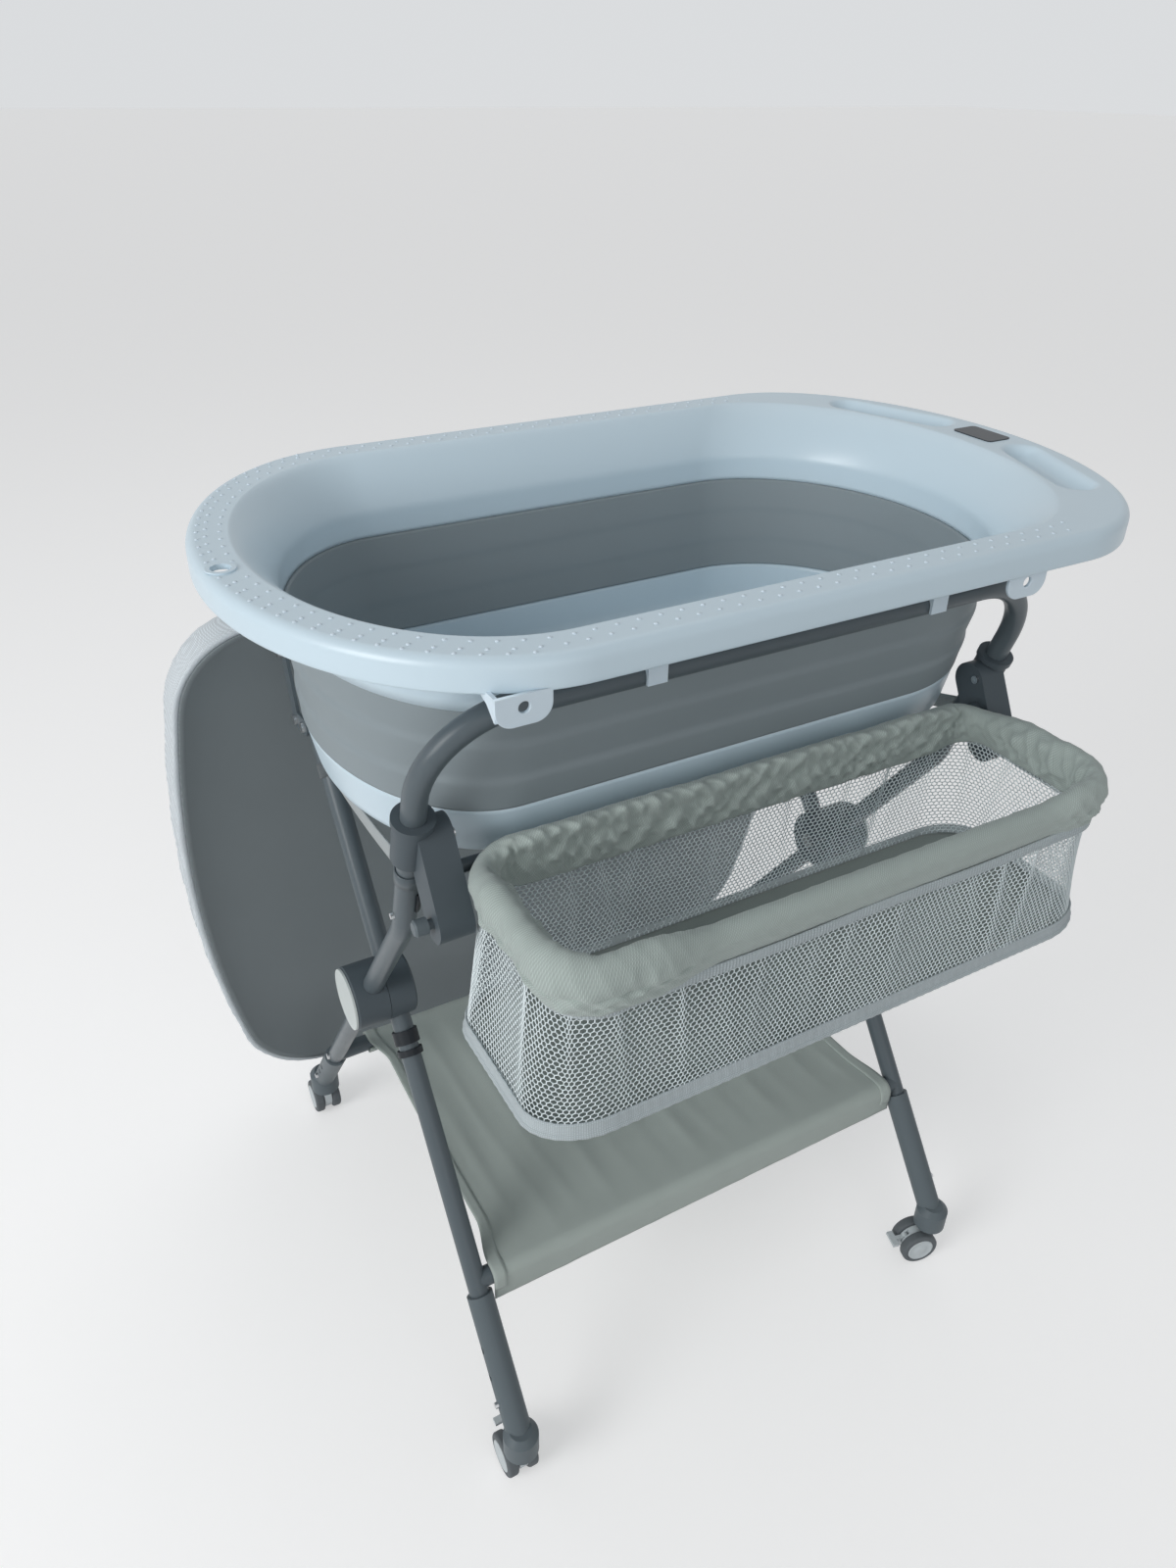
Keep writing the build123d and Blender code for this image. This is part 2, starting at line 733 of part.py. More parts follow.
def tub_outline(height, left, right, half_width, left_round, right_round, grow=0):
    """The tub's plan at a height: straight sides with half-ellipse ends."""
    with BuildSketch(Plane(origin=(stand_x, stand_y, height))) as plan:
        with BuildLine():
            start = left_round - left
            end = right - right_round
            wide = half_width + grow
            Line((start, -wide), (end, -wide))
            EllipticalCenterArc((end, 0), right_round + grow, wide, start_angle=-90, arc_size=180)
            Line((end, wide), (start, wide))
            EllipticalCenterArc((start, 0), left_round + grow, wide, start_angle=90, arc_size=180)
        make_face()
    return plan.sketch


def rim_plan(height, grow=0):
    """Outer edge of the rim."""
    return tub_outline(height, tub_left, tub_right, tub_half_width,
                       rim_left_round, rim_right_round, grow)


def lip_plan(height, grow=0):
    """Inner lip of the rim."""
    return tub_outline(height, lip_left, lip_right, lip_half_width,
                       lip_left_round, lip_right_round, grow)


def apron_plan(height, grow=0):
    """Band under the lip, inside the front tube."""
    return tub_outline(height, apron_left, apron_right, apron_half_width,
                       apron_left_round, apron_right_round, grow)


def base_plan(height, grow=0):
    """Base pan, which widens from its floor to its joint with the soft wall."""
    share = (height - base_bottom) / (wall_bottom - base_bottom)
    widen = (wall_bottom_half_width - base_half_width) * share
    return tub_outline(height, base_left + widen, base_right + widen / 2,
                       base_half_width + widen, base_left_round, base_right_round, grow)


# Rim: a flat border with a skirt, and the apron that leads down to the soft wall
skirt_bottom = rim_top - skirt_height
with BuildPart() as tub_rim:
    extrude(rim_plan(skirt_bottom), amount=skirt_height)
    fillet(tub_rim.faces().sort_by(Axis.Z)[-1].edges(), radius=rim_edge)
    extrude(rim_plan(skirt_bottom, -rim_wall), amount=skirt_height - rim_wall, mode=Mode.SUBTRACT)
    loft([apron_plan(apron_top, rim_wall), lip_plan(rim_top - rim_wall, rim_wall)], ruled=True)
    extrude(apron_plan(apron_bottom, rim_wall), amount=apron_top - apron_bottom)
    for end in (-1, 1):
        with BuildSketch(Plane(origin=(stand_x + tray_place_x, stand_y + end * tray_place_y,
                                       rim_top - tray_depth - tray_wall)).rotated(
                                           (0, 0, end * tray_turn))) as tray_block:
            SlotOverall(tray_length + 2 * tray_wall, tray_width + 2 * tray_wall)
        extrude(tray_block.sketch, amount=tray_depth)
    for place in tab_places:
        corner_point = (stand_x + place, stand_y - tub_half_width, skirt_bottom)
        with BuildSketch(Plane(origin=corner_point, x_dir=(1, 0, 0), z_dir=(0, -1, 0))) as tab:
            Rectangle(2 * tab_half_width, tab_drop, align=(Align.CENTER, Align.MAX))
            fillet(tab.vertices().group_by(Axis.Y)[0], radius=tab_corner)
            Rectangle(2 * tab_half_width, skirt_height - rim_edge,
                      align=(Align.CENTER, Align.MIN))
        extrude(tab.sketch, amount=-tab_wall)
        return_x = -1 if place < 0 else 1
        edge_x = stand_x + place + return_x * tab_half_width
        with BuildSketch(Plane(origin=(edge_x, stand_y - tub_half_width, rim_top - rim_wall / 2),
                               x_dir=(0, 1, 0), z_dir=(1, 0, 0))) as tab_rib:
            with BuildLine():
                Polyline((0, 0), (tab_return, 0),
                         (tab_return, -skirt_height), (tab_wall, -skirt_height - tab_drop / 2),
                         (0, -skirt_height - tab_drop / 2), close=True)
            make_face()
        extrude(tab_rib.sketch, amount=-return_x * tab_wall)
        hole = Vector(stand_x + place, stand_y - tub_half_width, skirt_bottom - tab_hole_drop)
        bar(hole + Vector(0, overrun, 0), hole - Vector(0, overrun, 0), tab_hole_radius,
            Mode.SUBTRACT)
    loft([apron_plan(apron_top), lip_plan(rim_top)], ruled=True, mode=Mode.SUBTRACT)
    extrude(apron_plan(apron_bottom), amount=apron_top - apron_bottom, mode=Mode.SUBTRACT)
    for end in (-1, 1):
        with BuildSketch(Plane(origin=(stand_x + tray_place_x, stand_y + end * tray_place_y,
                                       rim_top - tray_depth)).rotated(
                                           (0, 0, end * tray_turn))) as tray:
            SlotOverall(tray_length, tray_width)
        extrude(tray.sketch, amount=tray_depth + overrun, mode=Mode.SUBTRACT)
    with BuildSketch(Plane(origin=(stand_x + display_place, stand_y, rim_top))) as display_hole:
        RectangleRounded(display_width, display_length, display_corner)
    extrude(display_hole.sketch, amount=-display_depth, mode=Mode.SUBTRACT)
    grommet_point = spot(-grommet_place_x, -grommet_place_y, rim_top)
    bar(grommet_point - Vector(0, 0, overrun), grommet_point + Vector(0, 0, rim_wall),
        grommet_radius, Mode.SUBTRACT)
finish(tub_rim, "tub_rim")

# Thermometer: a module with a dark display, set into the wide end of the rim
with BuildPart() as thermometer:
    with BuildSketch(Plane(origin=(stand_x + display_place, stand_y,
                                   rim_top - display_depth))) as module:
        RectangleRounded(display_width - 2 * seat_play, display_length - 2 * seat_play,
                         display_corner - seat_play)
    extrude(module.sketch, amount=display_depth + display_rise)
finish(thermometer, "thermometer")

# Ring that lines the hanging hole at the left end
with BuildPart() as hanging_ring:
    pipe(grommet_point - Vector(0, 0, rim_wall), grommet_point, grommet_radius - seat_play,
         grommet_hole_radius)
    pipe(grommet_point, grommet_point + Vector(0, 0, grommet_rise),
         grommet_radius + grommet_flange, grommet_hole_radius)
finish(hanging_ring, "hanging_ring")

# Hooks under the rim that sit on the front tube
front_rail_y = rail_left.Y
hook_radius = tube_radius + soft_gap
with BuildPart() as rail_hooks:
    for place in clip_places:
        start_x = stand_x + place - clip_width / 2
        with BuildSketch(Plane(origin=(start_x, 0, 0), x_dir=(0, 1, 0), z_dir=(1, 0, 0))) as hook:
            with Locations((front_rail_y - hook_radius - clip_wall, front_rail_height - clip_drop)):
                Rectangle(2 * hook_radius + clip_wall - tube_wall,
                          rim_top - rim_wall - front_rail_height + clip_drop,
                          align=(Align.MIN, Align.MIN))
            with Locations((front_rail_y, front_rail_height)):
                Circle(hook_radius, mode=Mode.SUBTRACT)
            with Locations((front_rail_y - hook_radius, front_rail_height)):
                Rectangle(4 * hook_radius, 2 * hook_radius, align=(Align.MIN, Align.MAX),
                          mode=Mode.SUBTRACT)
        extrude(hook.sketch, amount=clip_width)
    loft([apron_plan(apron_top, rim_wall + seat_play),
          lip_plan(rim_top - rim_wall, rim_wall + seat_play)], ruled=True, mode=Mode.SUBTRACT)
finish(rail_hooks, "rail_hooks")

# Soft wall: a thin skin with two creases, where the tub folds flat
wall_top = apron_bottom
wall_span = wall_top - wall_bottom
level_shares = (0, 0.30, 0.38, 0.66, 0.74, 1)
crease_signs = (0, -1, 1, -1, 1, 0)


def wall_plan(share, crease, grow):
    """Plan of the soft wall at a share of its height below the apron."""
    blend = 1 - share
    swell = crease * crease_depth / 2 + grow
    widen = wall_bottom_half_width - base_half_width
    left = blend * apron_left + share * (base_left + widen)
    right = blend * apron_right + share * (base_right + widen / 2)
    half = blend * apron_half_width + share * wall_bottom_half_width
    left_round = blend * apron_left_round + share * base_left_round
    right_round = blend * apron_right_round + share * base_right_round
    return tub_outline(wall_top - share * wall_span, left, right, half, left_round, right_round,
                       swell)


with BuildPart() as tub_wall:
    loft([wall_plan(share, sign, 0) for share, sign in zip(level_shares, crease_signs)], ruled=True)
    loft([wall_plan(share, sign, -wall_thickness) for share, sign in zip(level_shares, crease_signs)],
         ruled=True, mode=Mode.SUBTRACT)
finish(tub_wall, "tub_wall")

# Base pan with a drain hole
drain_point = spot(-drain_place, 0, base_bottom)
with BuildPart() as tub_base:
    loft([base_plan(base_bottom), base_plan(wall_bottom)], ruled=True)
    chamfer(tub_base.faces().sort_by(Axis.Z)[0].edges(), length=base_edge)
    loft([base_plan(base_bottom + base_wall, -base_wall), base_plan(wall_bottom, -base_wall)],
         ruled=True, mode=Mode.SUBTRACT)
    extrude(base_plan(base_bottom + base_wall, -base_edge), amount=-base_wall / 2)
    bar(drain_point, drain_point + Vector(0, 0, overrun), drain_radius, Mode.SUBTRACT)
finish(tub_base, "tub_base")

# Drain plug: a stepped disc with a grip
with BuildPart() as drain_plug:
    floor_point = drain_point + Vector(0, 0, base_wall + seat_play)
    bar(drain_point + Vector(0, 0, soft_gap), floor_point, drain_radius - drain_play)
    bar(floor_point, floor_point + Vector(0, 0, drain_flange_height), drain_radius + drain_flange)
    bar(floor_point, floor_point + Vector(0, 0, drain_flange_height + drain_knob_height),
        drain_knob_radius)
finish(drain_plug, "drain_plug")

# Basket brackets: a collar on the front tube with an arm that holds the basket's pivot
for side, hand in SIDES:
    inner_x = stand_x + side * bracket_inner_face
    outer_x = stand_x + side * bracket_outer_face
    low_x, high_x = min(inner_x, outer_x), max(inner_x, outer_x)
    leg_x = side * outer_half
    line = [(stand_y + bracket_top_y, bracket_top_height),
            (stand_y + bracket_low_y, bracket_low_height)]
    with BuildPart() as bracket:
        side_plate(line, bracket_radius, low_x, high_x)
        bar(on_upper(leg_x, collar_bottom), on_upper(leg_x, collar_top), collar_radius)
        bar(on_upper(leg_x, collar_top - collar_lip_height), on_upper(leg_x, collar_top),
            collar_radius + collar_lip)
        bar(on_upper(leg_x, bracket_low_height - overrun), on_upper(leg_x, collar_top + overrun),
            tube_radius + seat_play, Mode.SUBTRACT)
        pivot = Vector(inner_x, stand_y + basket_pivot_y, basket_pivot_height)
        bore_end = Vector(stand_x + side * bracket_bore_end, pivot.Y, pivot.Z)
        bar(pivot, bore_end, basket_stub_radius + run_play, Mode.SUBTRACT)
        knob_hole = Vector(outer_x, stand_y + bracket_low_y, bracket_low_height)
        inward = Vector(-side, 0, 0)
        bar(knob_hole, knob_hole + inward * (knob_stem_length + knob_travel),
            knob_stem_radius + run_play, Mode.SUBTRACT)
        middle_x = (low_x + high_x) / 2
        slot_low = (stand_y + bracket_low_y, bracket_low_height - bracket_radius)
        with BuildSketch(Plane(origin=(middle_x, slot_low[0], slot_low[1]))) as slot:
            Rectangle(bracket_slot, bracket_radius)
        extrude(slot.sketch, amount=bracket_slot_depth, mode=Mode.SUBTRACT)
        screw_seat = Vector(inner_x, stand_y + bracket_top_y - bracket_radius / 2,
                            bracket_top_height + bracket_radius / 4)
        bar(screw_seat, screw_seat - inward * screw_length, screw_radius + seat_play, Mode.SUBTRACT)
    finish(bracket, "bracket_" + hand)

# Screws: one in each bracket and one at each end of the back low rail
with BuildPart() as frame_screws:
    for side, hand in SIDES:
        inward = Vector(-side, 0, 0)
        seat = Vector(stand_x + side * bracket_inner_face,
                      stand_y + bracket_top_y - bracket_radius / 2,
                      bracket_top_height + bracket_radius / 4)
        bar(seat, seat - inward * (screw_length - screw_radius), screw_radius)
        bar(seat, seat + inward * screw_head_height, screw_head_radius)
        leg_face = on_leg(side * outer_half, outer_way, low_rail_height) - inward * tube_radius
        bar(leg_face, leg_face - inward * screw_head_height, screw_head_radius)
finish(frame_screws, "frame_screws")

# Push knobs on the outer faces of the brackets
for side, hand in SIDES:
    outward = Vector(side, 0, 0)
    face = spot(side * bracket_outer_face, bracket_low_y, bracket_low_height)
    with BuildPart() as knob:
        bar(face + outward * knob_travel, face + outward * (knob_travel + knob_height), knob_radius)
        outer_rims = knob.edges().filter_by(GeomType.CIRCLE).group_by(Axis.X)
        chamfer(outer_rims[-1] if side > 0 else outer_rims[0], length=knob_edge)
        bar(face - outward * (knob_stem_length - knob_travel), face + outward * knob_travel,
            knob_stem_radius)
    finish(knob, "push_knob_" + hand)

# Basket frame: a round-cornered loop of thin tube, with two stubs that turn in the brackets
pivot_line_y = basket_pivot_y
front_line_y = basket_pivot_y - basket_depth
with BuildPart() as basket_frame:
    for side, hand in SIDES:
        bent_pipe(
            [spot(0, pivot_line_y, basket_pivot_height),
             spot(side * basket_half_length, pivot_line_y, basket_pivot_height),
             spot(side * basket_half_length, front_line_y, basket_pivot_height),
             spot(0, front_line_y, basket_pivot_height)],
            basket_corner, basket_tube_radius, basket_tube_radius - tube_wall,
        )
        bar(spot(side * (basket_half_length - 2 * basket_corner), pivot_line_y, basket_pivot_height),
            spot(side * (bracket_bore_end - seat_play), pivot_line_y, basket_pivot_height),
            basket_stub_radius)
finish(basket_frame, "basket_frame")


def basket_plan(height, grow, flare=0, tuck=0):
    """Plan of the basket: a round-cornered rectangle around the frame, at a height."""
    middle_y = basket_pivot_y - basket_depth / 2
    with BuildSketch(Plane(origin=(stand_x, stand_y + middle_y, height))) as plan:
        RectangleRounded(2 * (basket_half_length + grow + flare), basket_depth + 2 * (grow - tuck),
                         basket_corner + grow)
    return plan.sketch


def floor_plan(height, grow=0):
    """Plan of the basket at its floor."""
    return basket_plan(height, cloth_outside + grow, mesh_flare, mesh_tuck)


cloth_inside = basket_tube_radius + soft_gap
cloth_outside = cloth_inside + cloth_thickness
border_top = basket_pivot_height + border_rise
border_bottom = basket_pivot_height - border_height

# Cloth border: a channel that wraps over the frame's tube and hangs down outside and inside
with BuildPart() as basket_border:
    extrude(basket_plan(border_bottom, cloth_outside), amount=border_top - border_bottom)
    extrude(basket_plan(border_bottom, cloth_inside) - basket_plan(border_bottom, -cloth_inside),
            amount=border_top - cloth_thickness - border_bottom, mode=Mode.SUBTRACT)
    extrude(basket_plan(border_bottom, -cloth_outside), amount=border_top - border_bottom,
            mode=Mode.SUBTRACT)
    bar(spot(-outer_half, pivot_line_y, basket_pivot_height),
        spot(outer_half, pivot_line_y, basket_pivot_height),
        basket_tube_radius + soft_gap, Mode.SUBTRACT)
finish(basket_border, "basket_border")

# Mesh walls: four flaring nets in one piece, with staggered round gaps
mesh_top = border_bottom
flare_top = basket_pivot_height - mesh_flare_drop
mesh_height = mesh_top - mesh_bottom
mesh_front_y = stand_y + front_line_y
row_pitch = mesh_height / (mesh_rows + 1)
column_pitch = 2 * basket_half_length / (mesh_columns + 2)
hole_radius = mesh_hole_share * row_pitch
with BuildPart() as basket_mesh:
    loft([basket_plan(mesh_top, cloth_outside), basket_plan(flare_top, cloth_outside),
          floor_plan(mesh_bottom)], ruled=True)
    loft([basket_plan(mesh_top, cloth_outside - mesh_thickness),
          basket_plan(flare_top, cloth_outside - mesh_thickness),
          floor_plan(mesh_bottom, -mesh_thickness)], ruled=True, mode=Mode.SUBTRACT)
    with BuildSketch(Plane(origin=(stand_x, mesh_front_y - overrun, mesh_bottom),
                           x_dir=(1, 0, 0), z_dir=(0, -1, 0))) as front_gaps:
        for row in range(mesh_rows):
            stagger = (row % 2 - 1 / 2) * column_pitch / 2
            with Locations((stagger, (row + 1) * row_pitch)):
                with GridLocations(column_pitch, row_pitch, mesh_columns, 1):
                    Circle(hole_radius)
    extrude(front_gaps.sketch, amount=-(basket_depth + 4 * overrun),
            mode=Mode.SUBTRACT)
    with BuildSketch(Plane(origin=(stand_x - outer_half - overrun,
                                   stand_y + basket_pivot_y - basket_depth / 2,
                                   mesh_bottom),
                           x_dir=(0, 1, 0), z_dir=(1, 0, 0))) as side_gaps:
        for row in range(mesh_rows):
            stagger = (row % 2 - 1 / 2) * row_pitch / 2
            with Locations((stagger, (row + 1) * row_pitch)):
                with GridLocations(row_pitch, row_pitch, mesh_side_columns, 1):
                    Circle(hole_radius)
    extrude(side_gaps.sketch, amount=2 * (outer_half + overrun), mode=Mode.SUBTRACT)
finish(basket_mesh, "basket_mesh")

# Basket floor: a cloth-covered plate with a piped hem round its edge
with BuildPart() as basket_floor:
    extrude(floor_plan(mesh_bottom - basket_floor_thickness), amount=basket_floor_thickness)
    extrude(floor_plan(mesh_bottom - basket_floor_thickness - hem_drop, hem_radius / 2),
            amount=hem_drop)
    extrude(floor_plan(mesh_bottom - basket_floor_thickness - hem_drop, -hem_radius),
            amount=hem_drop, mode=Mode.SUBTRACT)
finish(basket_floor, "basket_floor")

# Shelf: one cloth looped round both low rails, with a flap at the front
front_low = on_leg(0, inner_way, low_rail_height)
back_low = on_leg(0, outer_way, low_rail_height)
loop_inside = tube_radius + soft_gap
loop_outside = loop_inside + cloth_thickness
with BuildPart() as shelf_cloth:
    with BuildSketch(Plane(origin=(stand_x - shelf_half_length, 0, 0), x_dir=(0, 1, 0),
                           z_dir=(1, 0, 0))) as shelf:
        with Locations((front_low.Y, low_rail_height), (back_low.Y, low_rail_height)):
            Circle(loop_outside)
        with Locations((front_low.Y, low_rail_height + loop_inside)):
            Rectangle(back_low.Y - front_low.Y, cloth_thickness, align=(Align.MIN, Align.MIN))
        with Locations((front_low.Y - loop_outside, low_rail_height)):
            Rectangle(cloth_thickness, flap_drop, align=(Align.MIN, Align.MAX))
        with Locations((front_low.Y, low_rail_height), (back_low.Y, low_rail_height)):
            Circle(loop_inside, mode=Mode.SUBTRACT)
    extrude(shelf.sketch, amount=2 * shelf_half_length)
finish(shelf_cloth, "shelf_cloth")

# Spread straps: flat webbing from each inner leg to the outer leg beside it
with BuildPart() as spread_straps:
    for side, hand in SIDES:
        front = on_upper(side * outer_half, strap_front_height)
        back = on_leg(side * inner_half, inner_way, strap_back_height)
        for middle, way in ((front, upper_way), (back, inner_way)):
            pipe(middle - way * strap_width / 2, middle + way * strap_width / 2,
                 tube_radius + strap_loop_gap + strap_thickness, tube_radius + strap_loop_gap)
        run = (back - front).normalized()
        start = front + run * (tube_radius + strap_loop_gap)
        end = back - run * (tube_radius + strap_loop_gap)
        across = run.cross(Vector(side, 0, 0)).normalized()
        with BuildSketch(Plane(origin=start, x_dir=across, z_dir=end - start)) as webbing:
            Rectangle(strap_width, strap_thickness)
        extrude(webbing.sketch, amount=(end - start).length)
        for middle, way in ((front, upper_way), (back, inner_way)):
            bar(middle - way * overrun, middle + way * overrun, tube_radius + strap_loop_gap,
                Mode.SUBTRACT)
finish(spread_straps, "spread_straps")

# Panel: its own plane lies in the front face, x along the tub, y up the panel, z to the front
panel_middle = (panel_top + panel_foot) / 2
panel_half_height = (panel_top - panel_foot) / 2 / tilt_cos
panel_origin = spot(0, (panel_top_y + panel_foot_y) / 2, panel_middle)
panel_plane = Plane(origin=panel_origin, x_dir=(1, 0, 0), z_dir=(0, -tilt_cos, -tilt_sin))


def panel_outline(depth, grow=0):
    """Outline of the panel at a depth behind its front face: bowed sides and round corners."""
    with BuildSketch(panel_plane.offset(-depth)) as plan:
        with BuildLine():
            top = panel_half_height - panel_bow
            for end in (1, -1):
                ThreePointArc((end * panel_top_half, top), (end * panel_half_length, 0),
                              (end * panel_foot_half, -top))
            ThreePointArc((-panel_top_half, top), (0, panel_half_height), (panel_top_half, top))
            ThreePointArc((-panel_foot_half, -top), (0, -panel_half_height),
                          (panel_foot_half, -top))
        make_face()
        fillet(plan.vertices().group_by(Axis.Y)[-1], panel_top_corner)
        fillet(plan.vertices().group_by(Axis.Y)[0], panel_foot_corner)
        if grow:
            offset(amount=grow)
    return plan.sketch


with BuildPart() as panel_board_piece:
    extrude(panel_outline(0, -panel_strip - seat_play), amount=-panel_board)
finish(panel_board_piece, "panel_board")

# Padded back of the panel: its front lip goes round the board, and its skin is hollow
lower_depth = panel_board + pad_skin
edge_depth = panel_thickness - pad_edge
with BuildPart() as panel_pad:
    extrude(panel_outline(0), amount=-panel_thickness)
    fillet(panel_pad.faces().sort_by(Axis((0, 0, 0), panel_plane.z_dir))[0].edges(), radius=pad_edge)
    extrude(panel_outline(0, -panel_strip), amount=-panel_board, mode=Mode.SUBTRACT)
    extrude(panel_outline(lower_depth, -pad_skin), amount=lower_depth - edge_depth,
            mode=Mode.SUBTRACT)
    extrude(panel_outline(edge_depth, -pad_edge), amount=pad_skin - pad_edge, mode=Mode.SUBTRACT)
finish(panel_pad, "panel_pad")

# Hangers: plates on the tops of the inner legs, out to the panel's hinge
hanger_line = [(stand_y + hanger_foot_y, hanger_foot_height),
               (stand_y + hanger_bolt_y, hanger_bolt_height),
               (stand_y + hinge_y, hinge_height)]
plate_inner = inner_half + tube_radius + hanger_gap
plate_outer = plate_inner + hanger_thickness
with BuildPart() as panel_hangers:
    for side, hand in SIDES:
        ends = sorted((stand_x + side * plate_inner, stand_x + side * plate_outer))
        side_plate(hanger_line, hanger_radius, ends[0], ends[1])
        for y, height, radius in ((hanger_foot_y, hanger_foot_height, hinge_pin_radius + seat_play),
                                  (hanger_bolt_y, hanger_bolt_height, hinge_pin_radius + seat_play),
                                  (hinge_y, hinge_height, hinge_pin_radius + run_play)):
            middle = spot(side * plate_inner, y, height)
            across = Vector(side * overrun, 0, 0)
            bar(middle - across, middle + across, radius, Mode.SUBTRACT)
finish(panel_hangers, "panel_hangers")

# Bolts of the inner frame: a pivot bolt in each hub, from a head under the cap to a nut inside,
# and two bolts in each hanger
with BuildPart() as frame_bolts:
    for side, hand in SIDES:
        outward = Vector(side, 0, 0)
        head = spot(side * (hub_outer_face - cap_spigot - seat_play), 0, hub_height)
        nut = spot(side * hub_inner_face, 0, hub_height)
        bar(head, head - outward * pivot_head_height, pivot_head_radius)
        bar(head, nut - outward * pivot_head_height, pivot_radius)
        bar(nut, nut - outward * pivot_head_height, pivot_head_radius)
        for y, height, inner in ((hanger_foot_y, hanger_foot_height, inner_half - tube_radius),
                                 (hanger_bolt_y, hanger_bolt_height, plate_inner - tube_wall)):
            start = spot(side * inner, y, height)
            face = spot(side * plate_outer, y, height)
            bar(start, face, hinge_pin_radius)
            bar(face, face + outward * bolt_head_height, bolt_head_radius)
finish(frame_bolts, "frame_bolts")

# Hinge pieces of the panel: a lug on the front face beside each hanger, with its pin
with BuildPart() as panel_hinges:
    for side, hand in SIDES:
        lug_inner = plate_outer + lug_gap
        lug_outer = lug_inner + lug_thickness
        ends = sorted((stand_x + side * lug_inner, stand_x + side * lug_outer))
        pivot = (stand_y + hinge_y, hinge_height)
        low_point = (stand_y + hinge_y, hinge_height - 2 * hanger_radius)
        reach = panel_top_y + panel_thickness - hinge_y
        side_plate([pivot, (pivot[0] + reach, pivot[1])], hanger_radius - lug_thickness / 2,
                   ends[0], ends[1])
        side_plate([low_point, (low_point[0] + reach, low_point[1])],
                   hanger_radius - lug_thickness / 2, ends[0], ends[1])
        side_plate([pivot, low_point], hanger_radius - lug_thickness / 2, ends[0], ends[1])
        pin_start = spot(side * (plate_inner - hinge_pin_head), hinge_y, hinge_height)
        pin_end = spot(side * lug_outer, hinge_y, hinge_height)
        bar(pin_start, pin_end, hinge_pin_radius)
        bar(pin_start, pin_start + Vector(side * (hinge_pin_head - lug_gap), 0, 0), hinge_pin_head)
    extrude(panel_outline(0, panel_strip), amount=-2 * panel_thickness, mode=Mode.SUBTRACT)
finish(panel_hinges, "panel_hinges")
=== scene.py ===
# %% [markdown]
# # Baby bathtub with a folding stand
# A collapsible tub hangs in a folding tube stand on casters. A net basket hangs on its front tube,
# a cloth shelf lies low between the legs and a padded panel hangs behind. The CAD model gives
# every solid and joint. Here each piece gets the finish of the real one, and whatever is soft or
# softly moulded is worked out again as a fine surface around the same sizes.

# %% Load the frame
import math

import bpy
import numpy as np
from mathutils import Matrix, Vector


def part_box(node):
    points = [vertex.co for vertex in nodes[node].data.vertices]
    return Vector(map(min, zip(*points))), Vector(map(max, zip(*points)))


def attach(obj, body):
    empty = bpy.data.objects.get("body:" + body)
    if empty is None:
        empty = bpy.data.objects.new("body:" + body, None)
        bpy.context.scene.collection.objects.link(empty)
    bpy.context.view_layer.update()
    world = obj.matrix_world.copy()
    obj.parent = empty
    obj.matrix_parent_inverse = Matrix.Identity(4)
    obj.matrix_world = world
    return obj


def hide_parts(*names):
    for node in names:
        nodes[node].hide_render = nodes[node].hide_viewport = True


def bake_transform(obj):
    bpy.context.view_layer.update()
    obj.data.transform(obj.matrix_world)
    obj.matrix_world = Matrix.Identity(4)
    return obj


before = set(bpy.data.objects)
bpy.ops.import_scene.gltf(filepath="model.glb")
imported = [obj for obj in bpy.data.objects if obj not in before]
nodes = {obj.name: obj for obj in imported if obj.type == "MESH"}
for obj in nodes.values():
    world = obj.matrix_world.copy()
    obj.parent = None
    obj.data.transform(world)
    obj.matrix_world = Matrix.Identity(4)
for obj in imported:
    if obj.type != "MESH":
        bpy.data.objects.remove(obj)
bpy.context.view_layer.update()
MM = 0.001


def node_middle(name):
    """The middle of a CAD node's box, as an array."""
    low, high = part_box(name)
    return (np.array(low, float) + np.array(high, float)) / 2


stand_x, stand_y = node_middle("hub_caps")[:2]
print("middle of the stand", round(stand_x, 5), round(stand_y, 5))

# %% [markdown]
# ## Helpers for surfaces
# Nearly every new piece is a grid of points: one direction runs round the piece, the other along
# its profile. The faces of such a grid are the same quads whatever its shape, so they are worked
# out once from the numbers of rows and columns, and only the points change from piece to piece.
# The UV map is given in metres, so that a weave keeps its real pitch on every piece.

# %% From a grid of points to a mesh


def new_piece(name, points, faces, extra_faces=(), smooth=True, finish=None):
    """Put points and faces into a mesh object at the origin, with its finish if it has one."""
    mesh = bpy.data.meshes.new(name)
    mesh.from_pydata(np.asarray(points, float).reshape(-1, 3).tolist(), [],
                     np.asarray(faces).tolist() + [list(map(int, face)) for face in extra_faces])
    mesh.update()
    mesh.polygons.foreach_set("use_smooth", np.full(len(mesh.polygons), smooth))
    piece = bpy.data.objects.new(name, mesh)
    bpy.context.scene.collection.objects.link(piece)
    if finish:
        mesh.materials.append(finish)
    return piece


